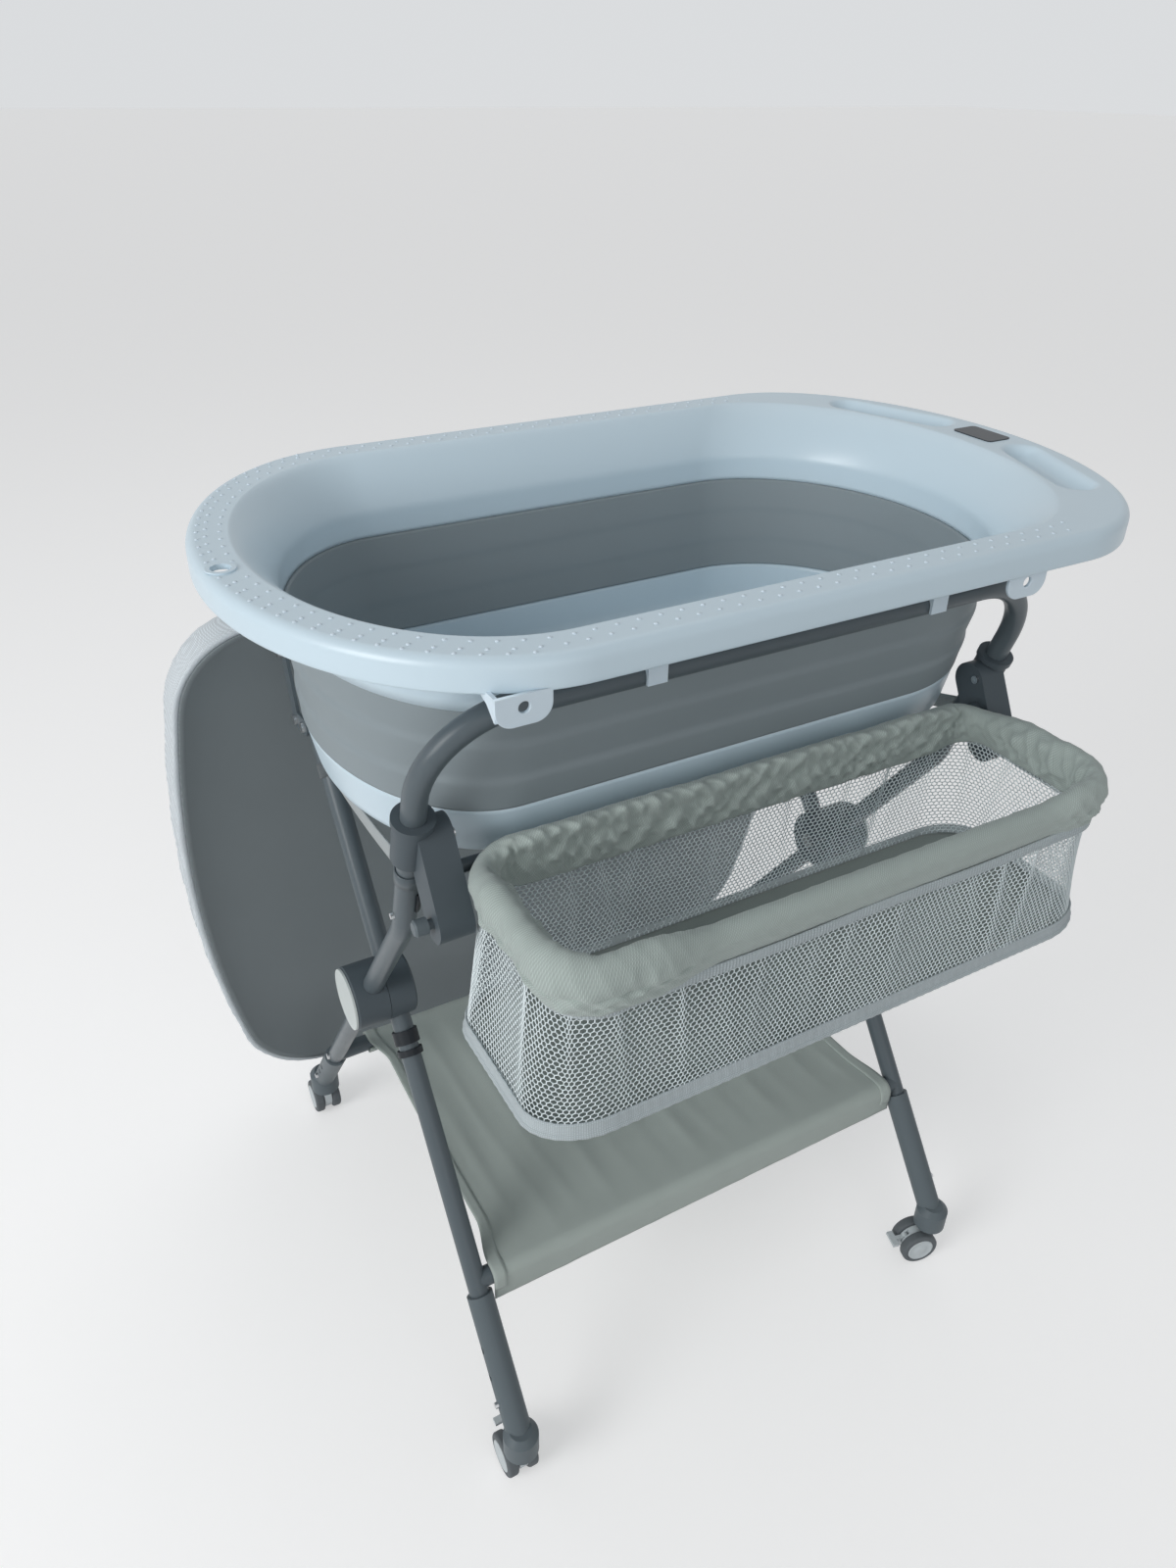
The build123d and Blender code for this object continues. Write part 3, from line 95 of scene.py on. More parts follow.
def grid_piece(name, points, close_rows=False, close_columns=False, smooth=True, uv=None,
               flip=False, extra_faces=(), finish=None):
    """A piece from an array of shape (rows, columns, 3); flip turns its faces round.

    Quads lie between neighbours i, i+1 and j, j+1; a closed direction wraps to its start.
    """
    rows, columns = points.shape[:2]
    i = np.arange(rows if close_rows else rows - 1)
    j = np.arange(columns if close_columns else columns - 1)
    i, j = (side.ravel() for side in np.meshgrid(i, j, indexing="ij"))
    corner_steps = ((0, 0), (1, 0), (1, 1), (0, 1))
    if flip:
        corner_steps = corner_steps[::-1]
    faces = np.stack([(i + a) % rows * columns + (j + b) % columns for a, b in corner_steps], 1)
    piece = new_piece(name, points, faces, extra_faces, smooth, finish)
    if uv is not None:
        across, along = uv
        corners = np.stack([np.stack([across[i + a], along[j + b]], 1) for a, b in corner_steps], 1)
        layer = piece.data.uv_layers.new(name="UVMap")
        flat = np.zeros((len(piece.data.loops), 2))
        flat[:len(corners) * 4] = corners.reshape(-1, 2)
        layer.data.foreach_set("uv", flat.ravel())
    return piece


def smoothstep(value):
    """3t^2 - 2t^3 with t kept between 0 and 1."""
    t = np.clip(value, 0, 1)
    return t * t * (3 - 2 * t)


def mesh_area(piece):
    """Sum of the areas of a piece's faces."""
    areas = np.zeros(len(piece.data.polygons))
    piece.data.polygons.foreach_get("area", areas)
    return areas.sum()


def run_along(line):
    """Running length at every point of a line."""
    return np.concatenate([[0], np.cumsum(np.hypot(*np.diff(line, axis=0).T))])


def line_normals(line):
    """Unit normals, square to the left of a line's direction."""
    tangent = np.gradient(line, axis=0)
    tangent /= np.linalg.norm(tangent, axis=1)[:, None]
    return np.stack([-tangent[:, 1], tangent[:, 0]], 1)


def bake(piece):
    """Bake a piece's modifiers into its mesh."""
    bpy.context.view_layer.update()
    evaluated = piece.evaluated_get(bpy.context.evaluated_depsgraph_get())
    mesh = bpy.data.meshes.new_from_object(evaluated)
    piece.modifiers.clear()
    piece.data = mesh


def solidify(piece, thickness, offset=0.0):
    """Give a sheet its thickness for good: offset 1 grows it along the normals, -1 against."""
    wall = piece.modifiers.new("thickness", "SOLIDIFY")
    wall.thickness = thickness
    wall.offset = offset
    bake(piece)


def smooth_all(piece):
    """Shade every face smoothly, those of a new edge too."""
    faces = piece.data.polygons
    faces.foreach_set("use_smooth", np.ones(len(faces), bool))


def project_uv(piece, points, origin, along):
    """UV in metres, straight from the points: x and the run in one direction from an origin."""
    layers = piece.data.uv_layers
    layer = layers[0] if layers else layers.new(name="UVMap")
    corner_point = np.zeros(len(piece.data.loops), int)
    piece.data.loops.foreach_get("vertex_index", corner_point)
    local = points.reshape(-1, 3)[corner_point] - origin
    layer.data.foreach_set("uv", np.column_stack([local[:, 0], local @ along]).ravel())


def end_face(rows, turns):
    """The face that closes the last row of a grid whose columns are closed."""
    return [(rows - 1) * turns + i for i in range(turns)]


def triangles(piece):
    """How many triangles a piece has."""
    return sum(len(face.vertices) - 2 for face in piece.data.polygons)


# %% [markdown]
# ## Finishes
# All materials are node trees on the Principled shader. Moulded plastic is never one flat colour:
# a wide, weak noise shifts its tone, and a fine noise gives the faint grain of a spark-eroded
# mould. Powder coat has the same parts with a stronger grain. Cloth gets its weave from two sets
# of stripes that cross, and a sheen that brightens it at grazing angles, as fibres do.

# %% A base for every finish


def shader_of(name):
    """A new material with its node tree and its Principled shader."""
    material = bpy.data.materials.new(name)
    material.use_nodes = True
    tree = material.node_tree
    return material, tree, tree.nodes["Principled BSDF"]


def add_node(tree, kind, values=(), links=(), **settings):
    """A shader node with its settings, and its inputs' values and sources by their names."""
    node = tree.nodes.new("ShaderNode" + kind)
    for key, value in settings.items():
        setattr(node, key, value)
    for key, value in dict(values).items():
        node.inputs[key].default_value = value
    for key, source in dict(links).items():
        tree.links.new(source, node.inputs[key])
    return node


def tone_noise(tree, shader, colour, spread, scale, space):
    """Mix a darker and a lighter tone of a colour by a wide noise."""
    noise = add_node(tree, "TexNoise", {"Scale": scale, "Detail": 4}, {"Vector": space})
    mix = add_node(tree, "Mix", {"A": (*[c * (1 - spread) for c in colour], 1),
                                 "B": (*[min(1, c * (1 + spread)) for c in colour], 1)},
                   {"Factor": noise.outputs["Fac"]}, data_type="RGBA")
    tree.links.new(mix.outputs["Result"], shader.inputs["Base Color"])
    return mix


def grain_bump(tree, shader, space, scale, height, strength):
    """A fine noise as bump; height is in metres."""
    grain = add_node(tree, "TexNoise", {"Scale": scale, "Detail": 3}, {"Vector": space})
    bump = add_node(tree, "Bump", {"Distance": height, "Strength": strength},
                    {"Height": grain.outputs["Fac"]})
    tree.links.new(bump.outputs["Normal"], shader.inputs["Normal"])


def rough_noise(tree, shader, space, low, high, scale):
    """Roughness between two values by a noise, as handling polishes and dulls a surface."""
    noise = add_node(tree, "TexNoise", {"Scale": scale, "Detail": 5}, {"Vector": space})
    span = add_node(tree, "MapRange", {"To Min": low, "To Max": high},
                    {"Value": noise.outputs["Fac"]})
    tree.links.new(span.outputs["Result"], shader.inputs["Roughness"])


TONES, WEAR = 9, 25  # noise scales of the tone and of the roughness


def moulded(name, colour, rough=(0.3, 0.42), grain=(900, 0.00004, 0.25), spread=0.03, coat=0.0,
            metal=0.0):
    """Moulded plastic, paint or bare metal, by its roughness, grain, coat and metal values."""
    material, tree, shader = shader_of(name)
    place = add_node(tree, "TexCoord").outputs["Object"]
    tone_noise(tree, shader, colour, spread, TONES, place)
    rough_noise(tree, shader, place, rough[0], rough[1], WEAR)
    grain_bump(tree, shader, place, *grain)
    shader.inputs["Coat Weight"].default_value = coat
    shader.inputs["Coat Roughness"].default_value = 0.2
    shader.inputs["Metallic"].default_value = metal
    material.diffuse_color = (*colour, 1)
    return material


# %% Plastics, paint and metal
DARK_SHINE = 0.25
tub_white = moulded("tub_white", (0.60, 0.73, 0.81), rough=(0.30, 0.40), spread=0.015, coat=0.15)
clip_white = moulded("clip_white", (0.66, 0.77, 0.85), rough=(0.32, 0.45), spread=0.02, coat=0.1)
soft_gray = moulded("soft_gray", (0.262, 0.305, 0.325), rough=(0.46, 0.60),
                    grain=(700, 0.00006, 0.3), spread=0.05)
tube_paint = moulded("tube_paint", (0.100, 0.124, 0.139), rough=(0.30, 0.42),
                     grain=(2600, 0.00005, 0.35), spread=0.04, coat=0.1)
hub_gray = moulded("hub_gray", (0.076, 0.096, 0.110), rough=(0.42, 0.55),
                   grain=(1500, 0.00006, 0.35), spread=0.05)
foot_gray = moulded("foot_gray", (0.118, 0.145, 0.160), rough=(0.40, 0.52),
                    grain=(1500, 0.00006, 0.35), spread=0.05)
cream_plastic = moulded("cream_plastic", (0.56, 0.61, 0.60), rough=(0.35, 0.48), spread=0.03)
black_plastic = moulded("black_plastic", (0.018, 0.022, 0.027), rough=(0.38, 0.5), spread=0.1)
steel = moulded("steel", (0.62, 0.63, 0.64), rough=(0.22, 0.35), grain=(3000, 0.00002, 0.2),
                spread=0.05, metal=1.0)
display_glass = moulded("display_glass", (0.016, 0.022, 0.030), rough=(0.28, 0.36),
                        grain=(400, 0.00001, 0.05), spread=0.1)
tyre_gray = moulded("tyre_gray", (0.105, 0.120, 0.130), rough=(0.6, 0.75),
                    grain=(2200, 0.0001, 0.4), spread=0.08)
caster_white = moulded("caster_white", (0.55, 0.60, 0.62), rough=(0.36, 0.5), spread=0.03)
net_white = moulded("net_white", (0.80, 0.88, 0.90), rough=(0.35, 0.45),
                    grain=(3000, 0.00005, 0.3), spread=0.06)
# dark mouldings and paint mirror little of the pale surroundings
for finish in (black_plastic, display_glass, tube_paint, hub_gray, foot_gray, soft_gray):
    shader = finish.node_tree.nodes["Principled BSDF"]
    shader.inputs["Specular IOR Level"].default_value = DARK_SHINE

# %% [markdown]
# ## Woven cloth
# The cloth is a plain weave of thick yarn. Two Wave textures on the UV map draw the warp and the
# weft, and their product gives the small bumps. The same bumps paint shade into the gaps between
# the yarns and light onto their crowns.
# The UV is in metres, so the pitch of the yarn is a plain number here.

# %% Cloth and webbing
WAVE_SCALE = 0.314  # of a Wave texture whose bands are 1 m apart
# colour factors: painted shade in the gaps between the yarns, painted light on their crowns
YARN_GAP_SHADE, YARN_CROWN_LIGHT = 0.72, 1.12
CLOTH_TONES = 14


def cloth(name, colour, pitch, height, spread=0.08, sheen=0.25, rough=0.85, twill=False):
    """Woven cloth: height = warp wave * weft wave, with the yarn pitch in metres."""
    material, tree, shader = shader_of(name)
    uv = add_node(tree, "TexCoord").outputs["UV"]
    warp, weft = (add_node(tree, "TexWave",
                           {"Scale": WAVE_SCALE / pitch, "Distortion": 0.6, "Detail": 1},
                           {"Vector": uv}, wave_type="BANDS", bands_direction=way)
                  for way in ("DIAGONAL" if twill else "X", "Y"))
    weave = add_node(tree, "Math", {}, {0: warp.outputs["Fac"], 1: weft.outputs["Fac"]},
                     operation="MULTIPLY").outputs["Value"]
    mix = tone_noise(tree, shader, colour, spread, CLOTH_TONES, uv)
    # the weave's height paints shade into the yarn gaps and light onto the yarn crowns
    yarn_shading = add_node(tree, "MapRange", {"To Min": YARN_GAP_SHADE, "To Max": YARN_CROWN_LIGHT}, {"Value": weave})
    shade = add_node(tree, "Mix", {"Factor": 1},
                     {"A": mix.outputs["Result"], "B": yarn_shading.outputs["Result"]},
                     data_type="RGBA", blend_type="MULTIPLY")
    tree.links.new(shade.outputs["Result"], shader.inputs["Base Color"])
    bump = add_node(tree, "Bump", {"Distance": height, "Strength": 0.6}, {"Height": weave})
    tree.links.new(bump.outputs["Normal"], shader.inputs["Normal"])
    shader.inputs["Roughness"].default_value = rough
    shader.inputs["Sheen Weight"].default_value = sheen
    shader.inputs["Sheen Roughness"].default_value = 0.5
    material.diffuse_color = (*colour, 1)
    return material


basket_cloth = cloth("basket_cloth", (0.465, 0.540, 0.512), 0.0011, 0.0003, twill=True)
floor_cloth = cloth("floor_cloth", (0.300, 0.350, 0.330), 0.0011, 0.0002)
# the shelf's cloth is the basket's cloth, lightened: painted light where the tub and basket shade
# the shelf
shelf_gray_lightened = cloth("shelf_gray_lightened", (0.500, 0.568, 0.533), 0.0009, 0.0002, spread=0.06)
seam_tape = cloth("seam_tape", (0.530, 0.600, 0.625), 0.0013, 0.0004)
webbing = cloth("webbing", (0.47, 0.51, 0.52), 0.0016, 0.0004)
loop_webbing = cloth("loop_webbing", (0.120, 0.140, 0.150), 0.0016, 0.0004)
panel_gray = cloth("panel_gray", (0.235, 0.270, 0.285), 0.0008, 0.00006, spread=0.04, sheen=0.1,
                   rough=0.7)
panel_white = cloth("panel_white", (0.74, 0.80, 0.84), 0.0012, 0.0001, spread=0.02, sheen=0.1,
                    rough=0.6)

# %% [markdown]
# ## The frame's own pieces
# Tubes, hubs, feet, brackets and small hardware have their right shape in CAD. They stay as they
# are, and each gets its finish from the record's material slot.

# %% Give each CAD node the finish of its slot
slot_finish = {
    "tube": tube_paint, "hub": hub_gray, "foot": foot_gray, "cream_plastic": cream_plastic,
    "steel": steel, "black_plastic": black_plastic, "white_plastic": tub_white,
    "soft_gray": soft_gray, "display": display_glass, "wheel": tyre_gray,
    "basket_cloth": basket_cloth, "net": net_white, "shelf_cloth": shelf_gray_lightened,
    "webbing": webbing, "panel_face": panel_gray, "panel_white": panel_white,
}
for name, node in nodes.items():
    for slot in node.material_slots:
        key = slot.material.name.split(".")[0] if slot.material else ""
        slot.material = slot_finish.get(key, tube_paint)
for name in [n for n in nodes if n.startswith(("caster_body", "brake_pedal"))]:
    nodes[name].material_slots[0].material = caster_white
for name in [n for n in nodes if n.startswith("push_knob")]:
    nodes[name].material_slots[0].material = foot_gray
nodes["rail_hooks"].material_slots[0].material = clip_white
print("CAD nodes with a finish:", len(nodes))

# %% [markdown]
# ## The tub's plan
# Seen from above, every level of the tub is two straight sides with half-ellipse ends. One set of
# stations round the loop serves every level, so that rings at different heights match point by
# point and can be joined by quads. The stations lie closer at the wide end, where the trays are.

# %% Stations round the tub
FRONT_STEPS, WIDE_STEPS, BACK_STEPS, NARROW_STEPS = 100, 300, 100, 220


def loop_stations():
    """Share along the straight sides, cosine and sine of the ends, for every station."""
    front = np.arange(FRONT_STEPS) / FRONT_STEPS
    wide = np.radians(-90 + 180 * np.arange(WIDE_STEPS) / WIDE_STEPS)
    back = 1 - np.arange(BACK_STEPS) / BACK_STEPS
    narrow = np.radians(90 + 180 * np.arange(NARROW_STEPS) / NARROW_STEPS)
    share = np.concatenate([front, np.ones(WIDE_STEPS), back, np.zeros(NARROW_STEPS)])
    cosine = np.concatenate([0 * front, np.cos(wide), 0 * back, np.cos(narrow)])
    sine = np.concatenate([0 * front - 1, np.sin(wide), 0 * back + 1, np.sin(narrow)])
    return share, cosine, sine


share, cosine, sine = loop_stations()
# left end, right end, half width, roundness of the left and right end
rim_size = np.array([368, 427, 248, 187, 164]) * MM
lip_size = np.array([336, 362, 215, 160, 140]) * MM
apron_size = np.array([304, 330, 182, 125, 150]) * MM
wall_foot_size = np.array([300, 327, 166, 105, 150]) * MM
base_size = np.array([290, 322, 156, 105, 150]) * MM


def tub_ring(size, grow):
    """x = middle of the ends + cosine * roundness, y = sine * half width; grow widens the ring."""
    left, right, half, left_round, right_round = size
    start, end = left_round - left, right - right_round
    roundness = np.where(cosine > 0, right_round + grow, left_round + grow)
    x = stand_x + (1 - share) * start + share * end + cosine * roundness
    y = stand_y + sine * (half + grow)
    return x, y


def tub_shell(levels):
    """Rings for rows of (size, grow, height), as an array of (levels, stations, 3)."""
    rings = []
    for size, grow, height in levels:
        x, y = tub_ring(size, grow)
        rings.append(np.stack([x, y, np.full_like(x, height)], 1))
    return np.array(rings)


# %% [markdown]
# ## Rim
# The rim is one moulding: a skirt, a flat border wide enough for hands and trays, a soft lip and
# an apron that leads down inside to the folding wall. Its profile is carried round the tub's
# plan. The two soap trays are pressed into the flat border by lowering the points inside a
# slot-shaped outline, on the upper and the lower face alike, so the wall keeps its thickness.

# %% Profile of the rim and its trays
RIM_TOP = 0.858
SKIRT_BOTTOM = 0.835
SLOPE_FOOT = 0.812
APRON_BOTTOM = 0.788
OUTER_ROUND = 0.008
RIM_WALL = 0.003
TRAY_DEPTH = 0.012


def mixed(first, second, amount):
    """Sizes between two plans."""
    return first * (1 - amount) + second * amount


def flat_border(amount):
    """Plan and growth at a share of the way across the flat border, from rim to lip."""
    return mixed(rim_size, lip_size, amount), -OUTER_ROUND * (1 - amount)


def slope(t):
    """Over the lip and down: share of the way from lip to apron, and the height there."""
    drop = t ** 1.6 * 0.75 + t * t * 0.25
    return smoothstep(t) * 0.35 + t * 0.65, RIM_TOP - (RIM_TOP - SLOPE_FOOT) * drop


def rim_levels():
    """Profile from the skirt up, across, over the lip, down the apron and back underneath."""
    levels = [(rim_size, -0.0012, SKIRT_BOTTOM), (rim_size, -0.0003, SKIRT_BOTTOM + 0.0004),
              (rim_size, 0, SKIRT_BOTTOM + 0.0015)]
    for z in np.linspace(SKIRT_BOTTOM + 0.005, RIM_TOP - OUTER_ROUND, 4):
        levels.append((rim_size, 0, z))
    for turn in np.radians(np.linspace(12, 90, 8)):
        levels.append((rim_size, -OUTER_ROUND * (1 - np.cos(turn)),
                       RIM_TOP - OUTER_ROUND * (1 - np.sin(turn))))
    for amount in np.linspace(0, 1, 32)[1:]:
        levels.append((*flat_border(amount), RIM_TOP))
    for t in np.linspace(0, 1, 20)[1:]:
        amount, z = slope(t)
        levels.append((mixed(lip_size, apron_size, amount), 0, z))
    for z in np.linspace(SLOPE_FOOT, APRON_BOTTOM, 7)[1:]:
        levels.append((apron_size, 0, z))
    levels.append((apron_size, RIM_WALL, APRON_BOTTOM))
    for z in (0.797, 0.805, SLOPE_FOOT):
        levels.append((apron_size, RIM_WALL, z))
    for t in np.linspace(1, 0, 8)[1:]:
        amount, z = slope(t)
        levels.append((mixed(lip_size, apron_size, amount), RIM_WALL * t, z - RIM_WALL * (1 - t)))
    for amount in np.linspace(1, 0, 24)[1:]:
        levels.append((*flat_border(amount), RIM_TOP - RIM_WALL))
    for turn in np.radians(np.linspace(90, 0, 5)[1:]):
        inner = OUTER_ROUND - RIM_WALL
        levels.append((rim_size, -RIM_WALL - inner * (1 - np.cos(turn)),
                       RIM_TOP - RIM_WALL - inner * (1 - np.sin(turn))))
    levels.append((rim_size, -RIM_WALL, SKIRT_BOTTOM + 0.001))
    levels.append((rim_size, -RIM_WALL + 0.0008, SKIRT_BOTTOM))
    return levels


tray_middle = np.array([0.3693, 0.1046])
tray_axis = np.array([math.cos(math.radians(111)), math.sin(math.radians(111))])
TRAY_HALF_RUN = 0.050
TRAY_HALF_WIDTH = 0.0175
TRAY_EDGE = 0.003
TRAY_SLOPE = 0.0130


def tray_depth(x, y):
    """How far a point sinks: full depth inside the slot outline, easing over a wide border."""
    px, py = x - stand_x, np.abs(y - stand_y)
    along = (px - tray_middle[0]) * tray_axis[0] + (py - tray_middle[1]) * tray_axis[1]
    across = (px - tray_middle[0]) * tray_axis[1] - (py - tray_middle[1]) * tray_axis[0]
    beyond = np.maximum(np.abs(along) - TRAY_HALF_RUN, 0)
    inside = TRAY_HALF_WIDTH + TRAY_EDGE - np.hypot(beyond, across)
    return TRAY_DEPTH * smoothstep(inside / TRAY_SLOPE)


rim_points = tub_shell(rim_levels())
flat = rim_points[:, :, 2] > RIM_TOP - RIM_WALL - 1e-6
sink = tray_depth(rim_points[:, :, 0], rim_points[:, :, 1])
rim_points[:, :, 2] -= np.where(flat, sink, 0)
rim_shell = grid_piece("rim_shell", rim_points, close_rows=True, close_columns=True, flip=True,
                       finish=tub_white)
print("rim shell triangles", triangles(rim_shell))

# %% [markdown]
# The hanging hole goes right through the border at the narrow end. A round cutter and a Boolean
# difference open it in the closed shell, which is simpler than fitting the grid to a circle.

# %% Cut the hanging hole


def revolved(profile, middle, axis, steps=48):
    """Carry (radius, height) pairs round an axis through a middle point, as (rows, steps, 3)."""
    axis = np.array(axis, float) / np.linalg.norm(axis)
    helper = np.array([0, 0, 1.0]) if abs(axis[2]) < 0.9 else np.array([1.0, 0, 0])
    first = np.cross(helper, axis)
    first /= np.linalg.norm(first)
    second = np.cross(axis, first)
    turn = 2 * np.pi * np.arange(steps) / steps
    ring = np.cos(turn)[:, None] * first + np.sin(turn)[:, None] * second
    profile = np.array(profile, float)
    return (np.array(middle) + profile[:, 0, None, None] * ring[None]
            + profile[:, 1, None, None] * axis)


def capped(name, profile, middle, axis, steps=48, smooth=True, finish=None):
    """A closed turned piece: the profile carried round, with both ends closed by a face."""
    points = revolved(profile, middle, axis, steps)
    rows = len(profile)
    low = list(range(steps))[::-1]
    high = end_face(rows, steps)
    return grid_piece(name, points, close_columns=True, smooth=smooth, flip=True,
                      extra_faces=[low, high], finish=finish)


def cut_round(piece, middle, radius, reach, axis):
    """Take a round hole out of a piece by a Boolean difference."""
    cutter = capped("cutter", [(radius, -reach), (radius, reach)], middle, axis, smooth=False)
    cut = piece.modifiers.new("hole", "BOOLEAN")
    cut.operation = "DIFFERENCE"
    cut.solver = "EXACT"
    cut.object = cutter
    bake(piece)
    bpy.data.objects.remove(cutter)


ring_middle = node_middle("hanging_ring")
RING_HOLE = 0.0089
cut_round(rim_shell, ring_middle, RING_HOLE, 0.02, (0, 0, 1))
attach(rim_shell, "tub")
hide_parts("tub_rim")
print("rim with its hole", triangles(rim_shell))

# %% [markdown]
# ## Grip dots
# Small domes stand on the border so that wet hands don't slip. They lie in two staggered rows
# along the sides and in three rows round the narrow end, and the wide end has none. Each dome is
# two rings of eight points with one point above, and one array holds them all.

# %% Domes along the border
DOT_RADIUS = 0.0018
DOT_HEIGHT = 0.0008
DOT_PITCH = 0.0165
WIDE_END, NARROW_END = 0.262, -0.215
CLEAR_OF_HOLE = 0.014


def row_points(amount, offset):
    """Points every DOT_PITCH along the loop between rim and lip, left of the wide end."""
    x, y = tub_ring(*flat_border(amount))
    x, y = np.append(x, x[0]), np.append(y, y[0])
    run = run_along(np.stack([x, y], 1))
    stops = np.arange(offset, run[-1], DOT_PITCH)
    px, py = np.interp(stops, run, x), np.interp(stops, run, y)
    pz = np.full_like(px, RIM_TOP)
    return np.stack([px, py, pz], 1)[px - stand_x < WIDE_END]


rows = [row_points(0.30, 0), row_points(0.74, DOT_PITCH / 2)]
narrow_row = row_points(0.04, DOT_PITCH / 4)
rows.append(narrow_row[narrow_row[:, 0] - stand_x < NARROW_END])
centres = np.concatenate(rows)
from_hole = np.hypot(centres[:, 0] - ring_middle[0], centres[:, 1] - ring_middle[1])
centres = centres[from_hole > CLEAR_OF_HOLE]
turns = 2 * np.pi * np.arange(8) / 8
ring = np.stack([np.cos(turns), np.sin(turns)], 1)
dome = np.concatenate([
    np.column_stack([ring * DOT_RADIUS, np.full(8, -0.0003)]),
    np.column_stack([ring * DOT_RADIUS * 0.75, np.full(8, DOT_HEIGHT * 0.75)]),
    [[0, 0, DOT_HEIGHT]],
])
dome_faces = [[i, (i + 1) % 8, 8 + (i + 1) % 8, 8 + i] for i in range(8)]
dome_tops = [[8 + i, 8 + (i + 1) % 8, 16] for i in range(8)]
dot_points = (centres[:, None, :] + dome[None]).reshape(-1, 3)
steps = (np.arange(len(centres)) * 17)[:, None, None]
quads = (np.array(dome_faces)[None] + steps).reshape(-1, 4)
tops = (np.array(dome_tops)[None] + steps).reshape(-1, 3)
grip_dots = new_piece("grip_dots", dot_points, quads, tops.tolist(), finish=clip_white)
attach(grip_dots, "tub")
print("grip dots", len(centres))

# %% [markdown]
# ## Tabs with a hole
# Two plates hang from the skirt at the front and take the ends of the front tube's bends. A flat
# curve with a second, round spline inside it gives a plate with a hole, and the curve's own bevel
# softens its edges.

# %% Plates on the skirt


def plate_with_hole(name, outline, hole_middle, hole_radius, thickness):
    """Fill a closed outline with a round hole and thicken it, in the X-Z plane at y = 0."""
    curve = bpy.data.curves.new(name, "CURVE")
    curve.dimensions = "2D"
    curve.fill_mode = "BOTH"
    curve.extrude = thickness / 2 - 0.0005
    curve.bevel_depth = 0.0005
    curve.bevel_resolution = 2
    turn = -2 * np.pi * np.arange(40) / 40
    hole = np.stack([hole_middle[0] + hole_radius * np.cos(turn),
                     hole_middle[1] + hole_radius * np.sin(turn)], 1)
    for points in (outline, hole):
        spline = curve.splines.new("POLY")
        spline.points.add(len(points) - 1)
        spline.points.foreach_set("co", np.column_stack(
            [points, np.zeros(len(points)), np.ones(len(points))]).ravel())
        spline.use_cyclic_u = True
    holder = bpy.data.objects.new(name + "_curve", curve)
    mesh = bpy.data.meshes.new_from_object(holder)
    bpy.data.objects.remove(holder)
    mesh.name = name
    piece = bpy.data.objects.new(name, mesh)
    bpy.context.scene.collection.objects.link(piece)
    return piece


TAB_HALF = 0.0195
TAB_DROP = 0.0190
TAB_HOLE_DROP = 0.0068
TAB_HOLE = 0.0046
TAB_THICK = 0.003
TAB_FRONT = -0.2445
TAB_LEFT, TAB_RIGHT = -0.2305, 0.2005
RIB_HALF = 0.0014
# reach behind the plate and height of the rib's corners
rib_outline = [(0, 0.8370), (0.026, 0.8370), (0.026, 0.8335), (0.012, 0.8290), (0.002, 0.8205),
               (0, 0.8205)]
tab_corner = 0.012
corner_turn = np.radians(np.linspace(0, 90, 12))
for place, hand in ((TAB_LEFT, "left"), (TAB_RIGHT, "right")):
    low = -TAB_DROP
    left_corner = np.stack([-TAB_HALF + tab_corner - tab_corner * np.cos(corner_turn),
                            low + tab_corner - tab_corner * np.sin(corner_turn)], 1)
    right_corner = np.stack([TAB_HALF - tab_corner + tab_corner * np.sin(corner_turn),
                             low + tab_corner - tab_corner * np.cos(corner_turn)], 1)
    outline = np.concatenate([[[-TAB_HALF, 0.002]], left_corner, right_corner, [[TAB_HALF, 0.002]]])
    tab = plate_with_hole("rim_tab_" + hand, outline, (0, -TAB_HOLE_DROP), TAB_HOLE, TAB_THICK)
    y0 = stand_y + TAB_FRONT + TAB_THICK / 2
    place_tab = Matrix.Translation((stand_x + place, y0, SKIRT_BOTTOM))
    tab.data.transform(place_tab @ Matrix.Rotation(math.radians(90), 4, "X"))
    tab.data.materials.append(clip_white)
    # the return rib stands behind the plate's outer edge
    end = -1 if hand == "left" else 1
    edge = stand_x + place + end * (TAB_HALF - TAB_THICK / 2)
    rib_points = np.array([[[x, y0 + reach, z] for reach, z in rib_outline]
                           for x in (edge - RIB_HALF, edge + RIB_HALF)])
    count = len(rib_outline)
    rib = grid_piece("rim_rib_" + hand, rib_points, close_columns=True, smooth=False,
                     extra_faces=[range(count), list(range(2 * count - 1, count - 1, -1))],
                     finish=clip_white)
    for piece in (tab, rib):
        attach(piece, "tub")

# %% [markdown]
# ## Soft folding wall
# The grey wall is a soft rubbery band between the apron and the base pan. It folds where it is
# stepped, at two creases. The steps are an S-shaped change of the ring's size, smoothed so that
# they catch the light as one soft line each. Outside and inside run as one closed profile.

# %% Wall with two creases
WALL_HEAD = APRON_BOTTOM + 0.0008
WALL_FOOT = 0.700
CREASE = 0.0012
WALL_THICK = 0.0026
INNER_CALM = 0.0014
CREASES = (0.34, 0.70)
CREASE_STEP, CREASE_REACH = 0.030, 0.14


def crease_swell(s):
    """Push out below each crease and in above it: a sum of smooth steps that ends at zero."""
    swell = np.zeros_like(s)
    for middle in CREASES:
        away = s - middle
        swell += np.tanh(away / CREASE_STEP) * np.exp(-(away / CREASE_REACH) ** 2)
    return CREASE * swell


def wall_levels():
    """Outer face from the apron down to the pan, then the calmer inner face back up."""
    shares = np.linspace(0, 1, 58)
    swells = 0.0004 + crease_swell(shares)
    outer = [(mixed(apron_size, wall_foot_size, s), swell, WALL_HEAD - (WALL_HEAD - WALL_FOOT) * s)
             for s, swell in zip(shares, swells)]
    inner = [(size, 0.30 * grow - WALL_THICK - INNER_CALM, z) for size, grow, z in outer[::-1]]
    return outer + inner


